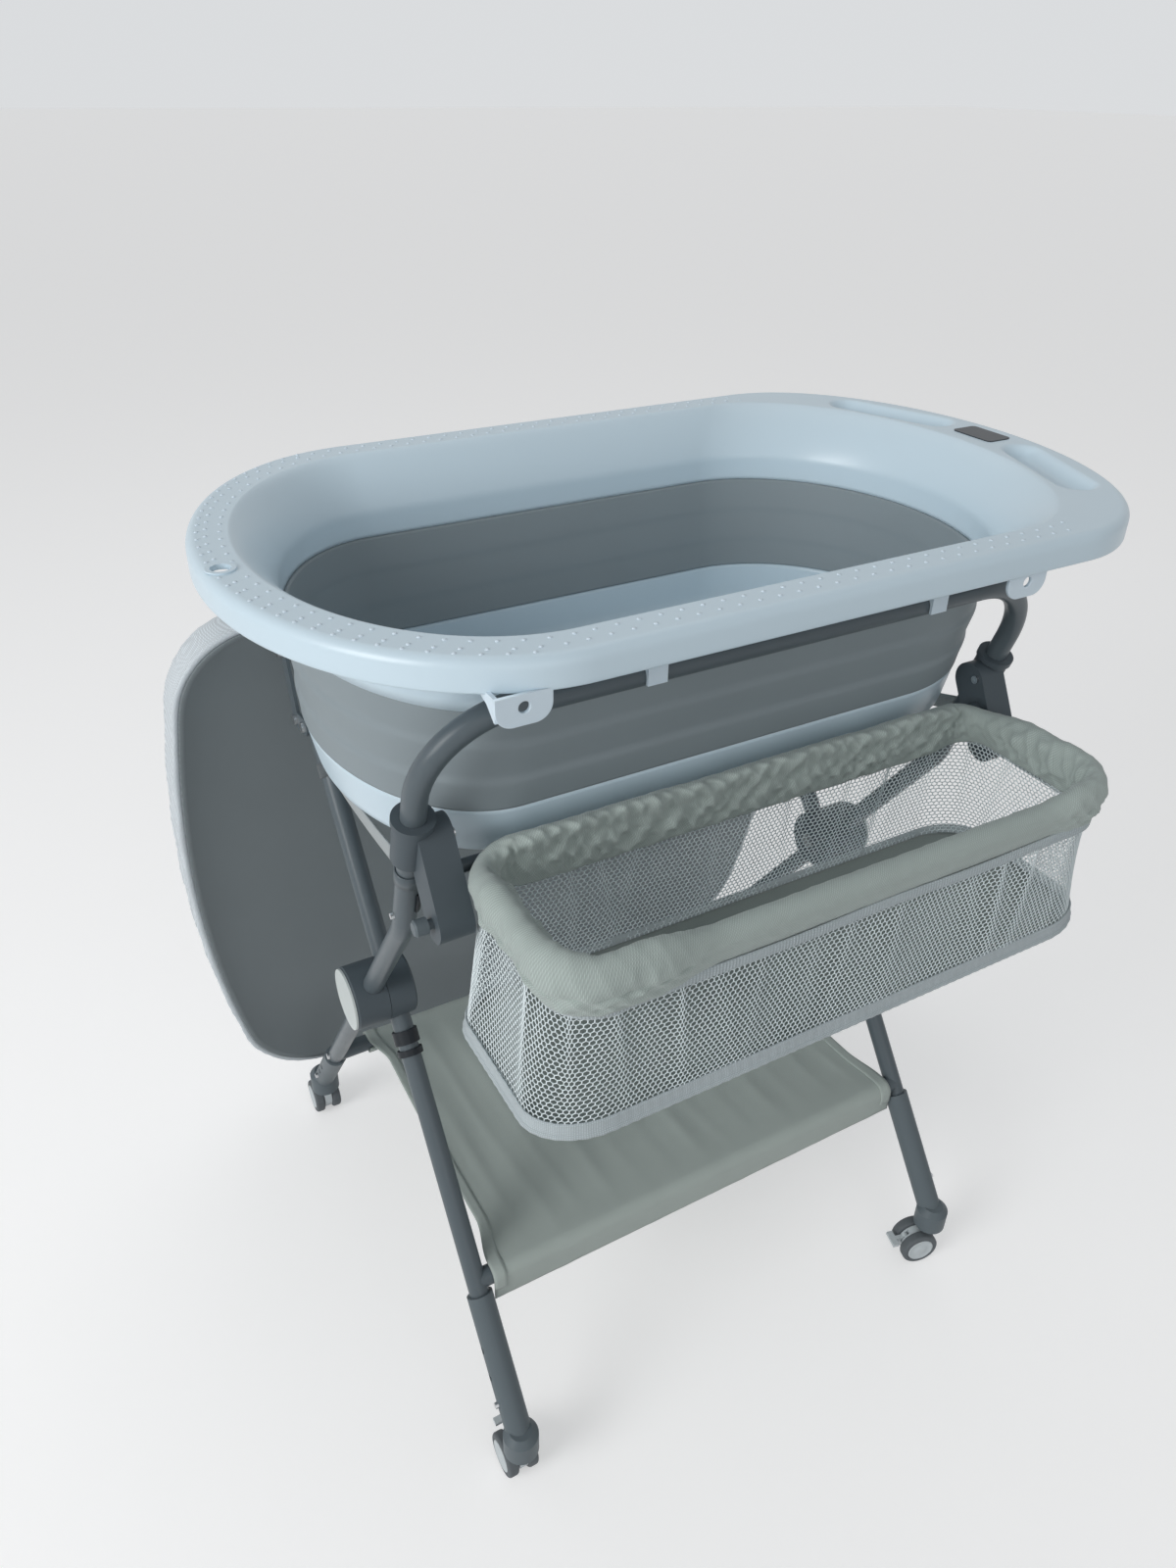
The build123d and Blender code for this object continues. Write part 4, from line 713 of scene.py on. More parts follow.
wall_points = tub_shell(wall_levels())[:, ::2]
folding_wall = grid_piece("folding_wall", wall_points, close_rows=True, close_columns=True,
                          finish=soft_gray)
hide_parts("tub_wall")
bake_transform(folding_wall)
print("folding wall triangles", triangles(folding_wall))

# %% [markdown]
# ## Base pan
# The pan is a shallow white tray with well rounded edges. A profile of the outside runs down and
# turns under the floor, and the inside follows it 3 mm further in. Flat faces close the floor
# above and below, and the drain is cut through both.

# %% Pan with its drain
PAN_BOTTOM = 0.650
PAN_WALL = 0.003
PAN_ROUND = 0.014
INNER_ROUND = 0.020
LEVEL_FACE = 0.9999
DRAIN_RADIUS = 0.016


def pan_size(z):
    """The pan widens evenly from its floor to the wall's foot."""
    return mixed(base_size, wall_foot_size, (z - PAN_BOTTOM) / (WALL_FOOT - PAN_BOTTOM))


def pan_levels():
    """Bottom round, up the outside, over the edge, down the inside and into the inner round."""
    levels = []
    for turn in np.radians(np.linspace(0, 90, 9)):
        z = PAN_BOTTOM + PAN_ROUND * (1 - np.cos(turn))
        levels.append((pan_size(z), -PAN_ROUND * (1 - np.sin(turn)), z))
    for z in np.linspace(PAN_BOTTOM + PAN_ROUND, WALL_FOOT, 8)[1:]:
        levels.append((pan_size(z), 0, z))
    levels.append((pan_size(WALL_FOOT), -PAN_WALL, WALL_FOOT))
    for z in np.linspace(WALL_FOOT, PAN_BOTTOM + PAN_WALL + INNER_ROUND, 7)[1:]:
        levels.append((pan_size(z), -PAN_WALL, z))
    for turn in np.radians(np.linspace(80, 0, 9)):
        z = PAN_BOTTOM + PAN_WALL + INNER_ROUND * (1 - np.cos(turn))
        levels.append((pan_size(z), -PAN_WALL - INNER_ROUND * (1 - np.sin(turn)), z))
    return levels


pan_points = tub_shell(pan_levels())[:, ::2]
pan_rows, pan_columns = pan_points.shape[:2]
under_floor = list(range(pan_columns))[::-1]
over_floor = end_face(pan_rows, pan_columns)
base_pan = grid_piece("base_pan", pan_points, close_columns=True, flip=True,
                      extra_faces=[under_floor, over_floor], finish=tub_white)
cut_round(base_pan, node_middle("drain_plug"), DRAIN_RADIUS, 0.04, (0, 0, 1))
# smooth normals would shade the big level faces like a fan round the drain
for face in base_pan.data.polygons:
    if abs(face.normal.z) > LEVEL_FACE:
        face.use_smooth = False
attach(base_pan, "tub_floor")
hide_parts("tub_base")
print("base pan triangles", triangles(base_pan))

# %% [markdown]
# ## Casters
# Each caster has two grey rubber tyres with white discs on one axle. Tyre and disc are turned
# profiles. Their place comes from the CAD node's box, and the axle's direction is the one that
# the caster was left standing in.

# %% Twin wheels
caster_turns = {"front_left": 90.0, "front_right": 165.0, "back_left": 90.0, "back_right": 120.0}
WHEEL_RADIUS = 0.021
AXLE_RADIUS, AXLE_HALF = 0.003, 0.0158
wheel_in, wheel_out = 0.0049, 0.0159


def tyre_profile():
    """A tyre's section: inner rim, rounded shoulders, a slightly crowned tread."""
    turn = np.radians(np.linspace(0, 90, 6))
    shoulder = 0.0028
    inner = [(WHEEL_RADIUS - shoulder + shoulder * s, wheel_in + shoulder * (1 - c))
             for s, c in zip(np.sin(turn), np.cos(turn))]
    outer = [(WHEEL_RADIUS - shoulder + shoulder * c, wheel_out - shoulder * (1 - s))
             for s, c in zip(np.sin(turn), np.cos(turn))]
    return ([(0.0150, wheel_in)] + inner + outer
            + [(0.0155, wheel_out), (0.0150, wheel_out - 0.0012)])


# radius and height past the wheel's outer face; the first point lies at its inner face
disc_face = [(0.0152, -0.0010), (0.0148, 0.0002), (0.0138, 0.0006), (0.0128, 0.0002),
             (0.0085, -0.0006), (0.0065, 0.0002), (0.0050, 0.0008), (0.0020, 0.0008)]
disc_profile = [(0.0150, wheel_in + 0.0002)] + [(radius, wheel_out + rise)
                                                for radius, rise in disc_face]
for corner, heading in caster_turns.items():
    middle = node_middle("wheel_pair_" + corner)
    middle[2] = WHEEL_RADIUS
    along = np.array([math.cos(math.radians(heading)), math.sin(math.radians(heading)), 0])
    axle = np.cross(along, [0, 0, 1])
    for way, side in ((1, "a"), (-1, "b")):
        tyre = grid_piece(f"tyre_{corner}_{side}",
                          revolved(tyre_profile(), middle, axle * way, 56),
                          close_rows=True, close_columns=True, flip=True, finish=tyre_gray)
        disc = capped(f"wheel_disc_{corner}_{side}", disc_profile, middle, axle * way, 56,
                      finish=caster_white)
        for piece in (tyre, disc):
            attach(piece, "wheels_" + corner)
    axle_bar = capped("axle_" + corner, [(AXLE_RADIUS, -AXLE_HALF), (AXLE_RADIUS, AXLE_HALF)],
                      middle, axle, 24, finish=steel)
    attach(axle_bar, "wheels_" + corner)
    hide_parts("wheel_pair_" + corner)
print("twin wheels on", len(caster_turns), "casters")

# %% [markdown]
# ## Basket: the path of its frame
# Border, net, tape, floor and piping all follow the same round-cornered rectangle. One function
# gives points and outward directions along it, for any distance from the frame's tube, and a
# second one carries a whole section round it.

# %% Round-cornered loop
BASKET_HALF = 0.2445
BASKET_DEPTH = 0.152
BASKET_CORNER = 0.032
BASKET_Y = -0.178 - BASKET_DEPTH / 2
FLARE_X = 0.0175
FLARE_Y = 0.0015
FRAME_HEIGHT = 0.672


def basket_loop(run_share, grow):
    """Points and outward normals at shares (0..1) of the loop, from the front's middle to +X."""
    half, deep, corner = BASKET_HALF + grow, BASKET_DEPTH / 2 + grow, BASKET_CORNER + grow
    flat_x, flat_y = half - corner, deep - corner
    base_half, base_deep = BASKET_HALF - BASKET_CORNER, BASKET_DEPTH / 2 - BASKET_CORNER
    base_arc = (BASKET_CORNER + 0.008) * math.pi / 2
    # knots of equal shares for every size, so that loops of different sizes match
    lengths = np.array([base_half, base_arc, 2 * base_deep, base_arc, 2 * base_half, base_arc,
                        2 * base_deep, base_arc, base_half])
    knots = np.concatenate([[0], np.cumsum(lengths)]) / lengths.sum()
    s = np.asarray(run_share) % 1.0
    part = np.clip(np.searchsorted(knots, s, side="right") - 1, 0, 8)
    t = (s - knots[part]) / (knots[part + 1] - knots[part])
    x, y = np.zeros_like(s), np.zeros_like(s)
    nx, ny = np.zeros_like(s), np.zeros_like(s)
    straight = {0: ((0, -deep), (flat_x, -deep), (0, -1)),
                2: ((half, -flat_y), (half, flat_y), (1, 0)),
                4: ((flat_x, deep), (-flat_x, deep), (0, 1)),
                6: ((-half, flat_y), (-half, -flat_y), (-1, 0)),
                8: ((-flat_x, -deep), (0, -deep), (0, -1))}
    for index, (start, end, normal) in straight.items():
        on = part == index
        x[on] = start[0] + (end[0] - start[0]) * t[on]
        y[on] = start[1] + (end[1] - start[1]) * t[on]
        nx[on], ny[on] = normal
    bends = {1: (flat_x, -flat_y, -90), 3: (flat_x, flat_y, 0), 5: (-flat_x, flat_y, 90),
             7: (-flat_x, -flat_y, 180)}
    for index, (cx, cy, begin) in bends.items():
        on = part == index
        angle = np.radians(begin + 90 * t[on])
        nx[on], ny[on] = np.cos(angle), np.sin(angle)
        x[on], y[on] = cx + corner * nx[on], cy + corner * ny[on]
    return stand_x + x, stand_y + BASKET_Y + y, nx, ny


def round_loop(s, grow, outward, heights, flare=(0, 0)):
    """A section carried round the loop: rows of outward offsets and heights at the shares s."""
    x, y, nx, ny = basket_loop(s, grow)
    return np.stack([x + nx * (flare[0] + outward), y + ny * (flare[1] + outward),
                     np.broadcast_to(heights, outward.shape)], 2)


def along_loop(s, start, end, ease):
    """1 between two shares of the loop, easing to 0 inside both of them."""
    return smoothstep((s - start) / ease) * smoothstep((end - s) / ease)


loop_x, loop_y, _, _ = basket_loop(np.linspace(0, 1, 2000, endpoint=False), 0)
LOOP_LENGTH = np.hypot(np.diff(loop_x, append=loop_x[0]), np.diff(loop_y, append=loop_y[0])).sum()
print("basket loop length", round(LOOP_LENGTH, 4))


def loop_run(turns):
    """Running length at every one of a loop's turns, with the closing one."""
    return np.arange(turns + 1) / turns * LOOP_LENGTH


# %% [markdown]
# ## Folds without a simulation
# Gathered cloth has folds that run across the gathering, start sharp at the stitched edge and
# melt into each other. A sum of waves whose phase wanders gives such folds: the wander bends
# them, a power sharpens their crests, and each wave has its own slant. Everything repeats once
# round the loop, so the start and the end meet.

# %% Wandering folds
folds_random = np.random.default_rng(7)


def fold_field(s, v, counts, slants, sharp, wander):
    """Sum of |cos|-like waves: count * s + slant * v + wandering phase, sharpened by a power."""
    total = np.zeros(np.broadcast(s, v).shape)
    for count, slant in zip(counts, slants):
        phase = folds_random.uniform(0, 2 * np.pi)
        drift = np.zeros_like(total)
        for harmonic in (3, 5, 9, 14):
            drift += (folds_random.uniform(0.4, 1.0) / harmonic ** 0.5
                      * np.sin(2 * np.pi * harmonic * s + folds_random.uniform(0, 6.28)
                               + folds_random.uniform(-2, 2) * v))
        wave = 0.5 + 0.5 * np.cos(2 * np.pi * count * s + slant * v + wander * drift + phase)
        total += folds_random.uniform(0.6, 1.0) * wave ** sharp
    total /= len(counts)
    return total - total.mean()


# %% [markdown]
# ## Basket border
# A band of cloth is wrapped over the frame's tube and sewn to the net in a seam below the tube. It
# is much longer and looser than the tube, so it gathers into folds at the back and the ends, while
# it is pulled nearly smooth in front. At the back it also hangs lower inside, and what stands above
# the tube leans into the basket, so that it clears the tub when the basket tips. The section is a
# teardrop that starts at the seam, runs up the inside, over the tube and down the outside. Puff
# and folds move its points along their normals, by amounts that change round the loop.

# %% Section of the border
BORDER_TURNS = 1000
GATHERING = 1.15
SEAM_DROP = 0.0200
WRAP = 0.0080
REAR_HANG = 0.50
REAR_LEAN = 0.75
LEAN_FROM = 0.004


def border_section():
    """Offset from the tube's middle (outward, up): seam, inside, over the tube, outside, seam."""
    turn = np.radians(np.linspace(205, -25, 25))
    over = np.stack([WRAP * np.cos(turn), WRAP * np.sin(turn)], 1)
    rise = np.linspace(0, 1, 12)[:-1]
    sides = []
    for seam_out, top in ((-0.0012, over[0]), (0.0026, over[-1])):
        out = seam_out + (top[0] - seam_out) * np.sin(rise * np.pi / 2)
        sides.append(np.stack([out, -SEAM_DROP + (top[1] + SEAM_DROP) * rise], 1))
    return np.concatenate([sides[0], over, sides[1][::-1]])


section = border_section()
section_run = run_along(section)
section_share = section_run / section_run[-1]
section_normal = line_normals(section)
print("border section run", round(section_run[-1], 4))

# %% Puff and folds of the border
s = np.arange(BORDER_TURNS) / BORDER_TURNS
rear = along_loop(s, 0.29, 0.71, 0.06)
left_end = along_loop(s, 0.69, 0.90, 0.05)
right_end = along_loop(s, 0.13, 0.30, 0.05)


def facing(out, up):
    """How far the section's normals face a direction (outward, up), none below zero."""
    toward = np.array([out, up]) / math.hypot(out, up)
    return np.maximum(section_normal @ toward, 0)[:, None]


S, V = np.meshgrid(s, section_share * 5.0)
big = fold_field(S, V, (15, 26, 37), (4.6, -5.2, 3.4), 2.4, 3.0)
fine = fold_field(S, V, (63, 88), (6.0, -6.6), 2.2, 3.6)
inner_side = smoothstep(section_share / 0.10) * smoothstep((0.56 - section_share) / 0.22)
outer_side = smoothstep((section_share - 0.56) / 0.2) * smoothstep((1 - section_share) / 0.10)
loose = (0.16 + 0.84 * inner_side + 0.55 * outer_side)[:, None]
swing = fold_field(s[None], np.zeros((1, 1)), (9, 14), (0, 0), 1.0, 1.5)
puff = (facing(-1.0, 0.2) * rear * 0.0030 + facing(0.90, 0.44) * left_end * (0.0085 + 0.006 * swing)
        + facing(0.90, 0.44) * right_end * (0.0040 + 0.004 * swing) + 0.0010)
depth = 0.0010 + 0.0058 * rear + 0.0050 * left_end + 0.0064 * right_end
lift = np.maximum(puff + depth * loose * (0.90 * big + 0.80 * fine), -0.0006)
stretch = (1 + rear * (1.5 + 0.7 * swing) + left_end * (0.9 + 0.5 * swing)
           + right_end * (1.0 + 0.6 * swing))
tall = np.where(section[:, 1, None] > 0, stretch, 1 + REAR_HANG * rear)
outward = section[:, 0, None] + section_normal[:, 0, None] * lift
upward = section[:, 1, None] * tall + section_normal[:, 1, None] * lift
outward = np.minimum(outward, WRAP + 0.0015 + 0.012 * (1 - rear))
outward -= rear * REAR_LEAN * np.maximum(upward - LEAN_FROM, 0)
border_points = round_loop(s, 0, outward, FRAME_HEIGHT + upward)
border = grid_piece("gathered_border", border_points, close_columns=True,
                    uv=(section_run, loop_run(BORDER_TURNS) * GATHERING), finish=basket_cloth)
border_area = mesh_area(border)
solidify(border, 0.0010, 0.0)
smooth_all(border)
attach(border, "basket")
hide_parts("basket_border")
print("border cloth area", round(border_area, 4), "triangles", triangles(border))

# %% [markdown]
# ## Net walls
# The net is a knitted hexagon mesh. Each hexagon owns three of its strands, so strands of all
# cells are worked out at once: two end points on the unrolled wall, carried to the flaring wall
# by one function, and a three-sided thread between them. A few upright pleats push the wall in
# and out, as gathered net does.

# %% Wall of the net
NET_TOP = FRAME_HEIGHT - SEAM_DROP + 0.001
NET_FOOT = 0.541
NET_OUT = 0.0028
HEX_WIDTH = 0.0043
THREAD = 0.00055
PLEATS = 30
PLEAT_WIDTH = 0.0065
PLEAT_SQUEEZE = 220
SLACK, SLACK_WAVES = 0.0022, 9
pleat_places = (np.arange(PLEATS) + folds_random.uniform(-0.35, 0.35, PLEATS)) / PLEATS
pleat_slants = folds_random.uniform(-0.022, 0.022, PLEATS)
pleat_depths = folds_random.uniform(0.0008, 0.0032, PLEATS)


def net_wall(share, fall):
    """A point of the wall: share round the loop, fall from 0 at the seam to 1 at the floor."""
    squeeze, ridge = 0 * share, 0 * share
    for place, slant, pleat in zip(pleat_places, pleat_slants, pleat_depths):
        away = (share - place - slant * fall + 0.5) % 1 - 0.5
        bell = np.exp(-(away / PLEAT_WIDTH) ** 2)
        squeeze = squeeze + away * bell * pleat * PLEAT_SQUEEZE
        ridge = ridge + pleat * bell
    fade = smoothstep(fall / 0.08) * (1 - 0.85 * fall)
    x, y, nx, ny = basket_loop(share - squeeze * fade, NET_OUT)
    waves = np.sin(2 * np.pi * SLACK_WAVES * share + 0.8)
    slack = ridge * fade + SLACK * waves * np.sin(np.pi * fall)
    x = x + nx * (FLARE_X * fall ** 1.15 + slack)
    y = y + ny * (FLARE_Y * fall + slack)
    return np.stack([x, y, NET_TOP + (NET_FOOT - NET_TOP) * fall], -1)


# %% Strands of the hexagons
columns = int(round(LOOP_LENGTH * 1.03 / HEX_WIDTH))
hex_height = HEX_WIDTH * 1.5 / math.sqrt(3)
net_rows = int(round((NET_TOP - NET_FOOT) / hex_height))
column, row = (a.ravel() for a in np.meshgrid(np.arange(columns), np.arange(net_rows)))
rise = 1.0 / net_rows
left_share = (column + 0.5 * (row % 2)) / columns
apex_share = left_share + 0.5 / columns
next_share = left_share + 1.0 / columns
shoulder = (row + 1 / 3) * rise
top_of_cell = row * rise
foot_of_cell = np.minimum((row + 1) * rise, 1.0)
strands = [((left_share, shoulder), (apex_share, top_of_cell)),
           ((apex_share, top_of_cell), (next_share, shoulder)),
           ((left_share, shoulder), (left_share, foot_of_cell))]
starts = np.concatenate([net_wall(*a) for a, b in strands])
ends = np.concatenate([net_wall(*b) for a, b in strands])


def threads(start, end, radius):
    """Three-sided prisms between pairs of points; each ring stands square to its thread."""
    along = end - start
    along /= np.linalg.norm(along, axis=1)[:, None] + 1e-12
    helper = np.where(np.abs(along[:, 2:3]) > 0.9, [[1.0, 0, 0]], [[0, 0, 1.0]])
    first = np.cross(along, helper)
    first /= np.linalg.norm(first, axis=1)[:, None]
    second = np.cross(along, first)
    angle = np.radians([90, 210, 330])
    ring = (np.cos(angle)[None, :, None] * first[:, None]
            + np.sin(angle)[None, :, None] * second[:, None])
    points = np.concatenate([start[:, None] + ring * radius, end[:, None] + ring * radius], 1)
    base = (np.arange(len(start)) * 6)[:, None, None]
    pattern = np.array([[0, 1, 4, 3], [1, 2, 5, 4], [2, 0, 3, 5]])
    return points.reshape(-1, 3), (pattern[None] + base).reshape(-1, 4)


net_points, net_faces = threads(starts, ends, THREAD)
net = new_piece("hexagon_net", net_points, net_faces, finish=net_white)
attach(net, "basket")
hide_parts("basket_mesh")
print("net cells", columns, "x", net_rows, "triangles", triangles(net))

# %% [markdown]
# ## Tape, floor and piping
# A tape covers the seam between border and net, the floor is a cloth-covered board, and a piped
# hem runs round its edge. The piping is a tube with a flat flange above it, carried along the
# same loop.

# %% Seam tape under the border
TAPE_HALF = 0.0044
TAPE_DROP = 0.0046
TAPE_TURNS = 1920
TAPE_RIBS = 480
tape_rows = np.array([[0.0004, TAPE_HALF], [0.0010, TAPE_HALF * 0.8], [0.0012, 0.0],
                      [0.0010, -TAPE_HALF * 0.8], [0.0004, -TAPE_HALF]])
s = np.arange(TAPE_TURNS) / TAPE_TURNS
ribs = 0.00034 * np.sin(2 * np.pi * TAPE_RIBS * s)
tape_height = NET_TOP - TAPE_DROP + 0.0009 * np.sin(2 * np.pi * 7 * s + 1)
tape_points = round_loop(s, NET_OUT + 0.0018, tape_rows[:, 0, None] + ribs[None],
                         tape_height[None] + tape_rows[:, 1, None])
tape = grid_piece("seam_tape", tape_points, close_columns=True, flip=True,
                  uv=(tape_rows[:, 1], loop_run(TAPE_TURNS)), finish=seam_tape)
solidify(tape, 0.0008, -1.0)
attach(tape, "basket")

# %% Floor of the basket
FLOOR_RINGS = 26
FLOOR_TURNS = 300
s = np.arange(FLOOR_TURNS) / FLOOR_TURNS
fx, fy, fnx, fny = basket_loop(s, NET_OUT)
fx, fy = fx + fnx * (FLARE_X - 0.0004), fy + fny * (FLARE_Y - 0.0004)
floor_middle = np.array([stand_x, stand_y + BASKET_Y])
shrink = np.linspace(1, 0.04, FLOOR_RINGS)
ring_x = floor_middle[0] + (fx - floor_middle[0])[None] * shrink[:, None]
ring_y = floor_middle[1] + (fy - floor_middle[1])[None] * shrink[:, None]
inward = (1 - shrink)[:, None]
waves = np.sin(17 * (ring_x - 0.1)) * np.sin(23 * ring_y + 1)
swell = 0.0016 * waves * smoothstep(inward / 0.3) - 0.0012 * smoothstep(inward / 0.5)
upper = np.stack([ring_x, ring_y, NET_FOOT + swell], 2)
lower = np.stack([ring_x, ring_y, NET_FOOT - 0.003 + 0 * swell], 2)[::-1]
floor_points = np.concatenate([lower, upper])
board_floor = grid_piece(
    "basket_floor_cloth", floor_points, close_columns=True, flip=True,
    extra_faces=[list(range(FLOOR_TURNS))[::-1], end_face(len(floor_points), FLOOR_TURNS)],
    finish=floor_cloth)
project_uv(board_floor, floor_points, np.zeros(3), np.array([0, 1.0, 0]))
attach(board_floor, "basket")
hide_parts("basket_floor")

# %% Piped hem round the floor
PIPING = 0.0024
HEM_TURNS = 600
turn = np.radians(np.linspace(110, 430, 15))
pipe_section = np.stack([PIPING * np.cos(turn), PIPING * np.sin(turn)], 1)
flange = np.array([[-0.0004, 0.0120], [0.0004, 0.0100], [0.0002, 0.0062]])
flange_back = np.array([[-0.0012, 0.0062], [-0.0014, 0.0120]])
hem_section = np.concatenate([pipe_section[::-1], flange_back, flange])
s = np.arange(HEM_TURNS) / HEM_TURNS
pucker = 0.00022 * np.sin(2 * np.pi * 150 * s)
hem_points = round_loop(s, NET_OUT + 0.0012, hem_section[:, 0, None] + pucker[None],
                        NET_FOOT - 0.0034 + hem_section[:, 1, None], flare=(FLARE_X, FLARE_Y))
hem_run = run_along(np.vstack([hem_section, hem_section[:1]]))
hem = grid_piece("piped_hem", hem_points, close_rows=True, close_columns=True,
                 uv=(hem_run, loop_run(HEM_TURNS)), finish=seam_tape)
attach(hem, "basket")
print("tape, floor and hem", triangles(tape), triangles(board_floor), triangles(hem))

# %% [markdown]
# ## Shelf
# One cloth is stretched between the two low rails. It comes up from a flap in front, goes over
# the front rail, sags a little across the span and loops round the back rail. The same wandering
# folds, very shallow, run from rail to rail, and a doubled hem thickens both side edges.

# %% Shelf cloth
RAIL_HEIGHT = 0.1855
LOOP_OUT = 0.0104
front_y, back_y = node_middle("front_low_rail")[1], node_middle("back_low_rail")[1]
SHELF_HALF = 0.244
HEM_COLUMNS = 5
SAG = 0.008
FLAP = 0.024


def shelf_path():
    """The cloth's line in the Y-Z plane: flap, front rail, sagging span, back rail, return."""
    flap = np.stack([np.full(8, front_y - LOOP_OUT), RAIL_HEIGHT - np.linspace(FLAP, 0.002, 8)], 1)
    turn = np.radians(np.linspace(180, 92, 10))
    front = np.stack([front_y + LOOP_OUT * np.cos(turn), RAIL_HEIGHT + LOOP_OUT * np.sin(turn)], 1)
    across = np.linspace(0, 1, 62)[1:-1]
    span = np.stack([front_y + (back_y - front_y) * across,
                     RAIL_HEIGHT + LOOP_OUT - SAG * np.sin(np.pi * across) ** 1.2], 1)
    turn = np.radians(np.linspace(88, -178, 26))
    back = np.stack([back_y + LOOP_OUT * np.cos(turn), RAIL_HEIGHT + LOOP_OUT * np.sin(turn)], 1)
    return np.concatenate([flap, front, span, back])


path = shelf_path()
path_run = run_along(path)
SHELF_COLUMNS = 150
xs = np.linspace(-SHELF_HALF, SHELF_HALF, SHELF_COLUMNS)
path_normal = line_normals(path)
S, V = np.meshgrid((xs + SHELF_HALF) / (2 * SHELF_HALF), path_run / path_run[-1] * 5)
folds = fold_field(S, V, (5, 9, 14), (1.2, -0.9, 0.5), 1.4, 0.8)
open_span = (smoothstep((path[:, 0] - front_y - 0.004) / 0.05)
             * smoothstep((back_y - 0.004 - path[:, 0]) / 0.05))
shelf_lift = 0.0006 + folds * (0.0006 + 0.0027 * open_span)[:, None]
pull = 0.004 * open_span[:, None] * (1 - smoothstep((SHELF_HALF - np.abs(xs)) / 0.05))[None]
edge_bow = 0.010 * open_span[:, None] * (xs / SHELF_HALF)[None] ** 7
shelf_points = np.stack([
    stand_x + np.broadcast_to(xs[None], S.shape) - edge_bow,
    path[:, 0, None] + path_normal[:, 0, None] * shelf_lift,
    path[:, 1, None] + path_normal[:, 1, None] * shelf_lift + pull,
], 2)
# its finish is the lightened cloth, with painted light against the shade of tub and basket
shelf = grid_piece("shelf_sheet", shelf_points, flip=True, uv=(path_run, xs), finish=shelf_gray_lightened)
shelf_area = mesh_area(shelf)
solidify(shelf, 0.0012, 0.0)
smooth_all(shelf)
hem_pieces = []
for end, hand in ((-1, "left"), (1, "right")):
    first_column = 0 if end < 0 else SHELF_COLUMNS - HEM_COLUMNS
    columns_used = slice(first_column, first_column + HEM_COLUMNS)
    strip = shelf_points[4:, columns_used].copy()
    strip[:, :, 1] += path_normal[4:, 0, None] * 0.0011
    strip[:, :, 2] += path_normal[4:, 1, None] * 0.0011
    side_hem = grid_piece("shelf_hem_" + hand, strip, flip=True,
                          uv=(path_run[4:], xs[columns_used]), finish=shelf_gray_lightened)
    solidify(side_hem, 0.0010, 0.0)
    hem_pieces.append(side_hem)
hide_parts("shelf_cloth")
for piece in [shelf] + hem_pieces:
    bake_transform(piece)
print("shelf area", round(shelf_area, 4), "path", round(path_run[-1], 4))

# %% [markdown]
# ## Spread straps
# On each side a flat webbing strap runs from the outer leg under the tub to the inner leg and
# keeps the stand from spreading. Each end is a loop round its tube. The strap is a ribbon with a
# slight sag, and the loops are bands carried round the legs. Just below, a dark clip lies round
# part of each outer leg.

# %% Straps and their loops
STRAP_WIDTH = 0.014
STRAP_SAG = 0.004
LOOP_RADIUS = 0.0098
LOOP_THICK = 0.0010
OUTER_HALF, INNER_HALF = 0.280, 0.2583
HUB_HEIGHT, BEND_HEIGHT = 0.419, 0.5874
FRONT_HEIGHT, BACK_HEIGHT = 0.653, 0.590
OUTER_ANGLE, UPPER_ANGLE, INNER_ANGLE = math.radians(54.0), math.radians(71.3), math.radians(53.6)
CLIP_SPAN = 150
CLIP_STEP = 5
clip_section = [(0.0097, -0.011), (0.0116, -0.0105), (0.0120, -0.004), (0.0120, 0.004),
                (0.0116, 0.0105), (0.0097, 0.011)]


def inner_leg_point(height, half):
    """A point of an inner leg's axis: y grows with the height above the hub by the leg's slope."""
    back = (height - HUB_HEIGHT) / math.tan(INNER_ANGLE)
    return np.array([stand_x + half, stand_y + back, height])


def arc_band(name, middle, axis, toward):
    """A clip bent round part of a leg: its section, carried over CLIP_SPAN degrees of a turn."""
    full = revolved(clip_section, middle, axis, 360 // CLIP_STEP)
    first = (toward - CLIP_SPAN // 2) // CLIP_STEP
    part = np.roll(full, -first, axis=1)[:, :CLIP_SPAN // CLIP_STEP + 1]
    columns = part.shape[1]
    start = [row * columns for row in range(len(clip_section))]
    end_cap = [row * columns + columns - 1 for row in range(len(clip_section))][::-1]
    return grid_piece(name, part, close_rows=True, flip=True, extra_faces=[start, end_cap],
                      finish=black_plastic)


bend_y = -(BEND_HEIGHT - HUB_HEIGHT) / math.tan(OUTER_ANGLE)
upper_y = bend_y - (FRONT_HEIGHT - BEND_HEIGHT) / math.tan(UPPER_ANGLE)
leg_up = np.array([0, -math.cos(UPPER_ANGLE), math.sin(UPPER_ANGLE)])
leg_back = np.array([0, math.cos(INNER_ANGLE), math.sin(INNER_ANGLE)])
half_width = STRAP_WIDTH / 2
band = [(LOOP_RADIUS, -half_width), (LOOP_RADIUS + LOOP_THICK, -half_width + 0.0002),
        (LOOP_RADIUS + LOOP_THICK + 0.0001, 0), (LOOP_RADIUS + LOOP_THICK, half_width - 0.0002),
        (LOOP_RADIUS, half_width)]
LOOP_TURNS = 40
loop_uv = (np.array([0, 0.0015, 0.0085, 0.0155, 0.017, 0.031]),
           np.linspace(0, 0.066, LOOP_TURNS + 1))
clip_middle = node_middle("joint_clips")
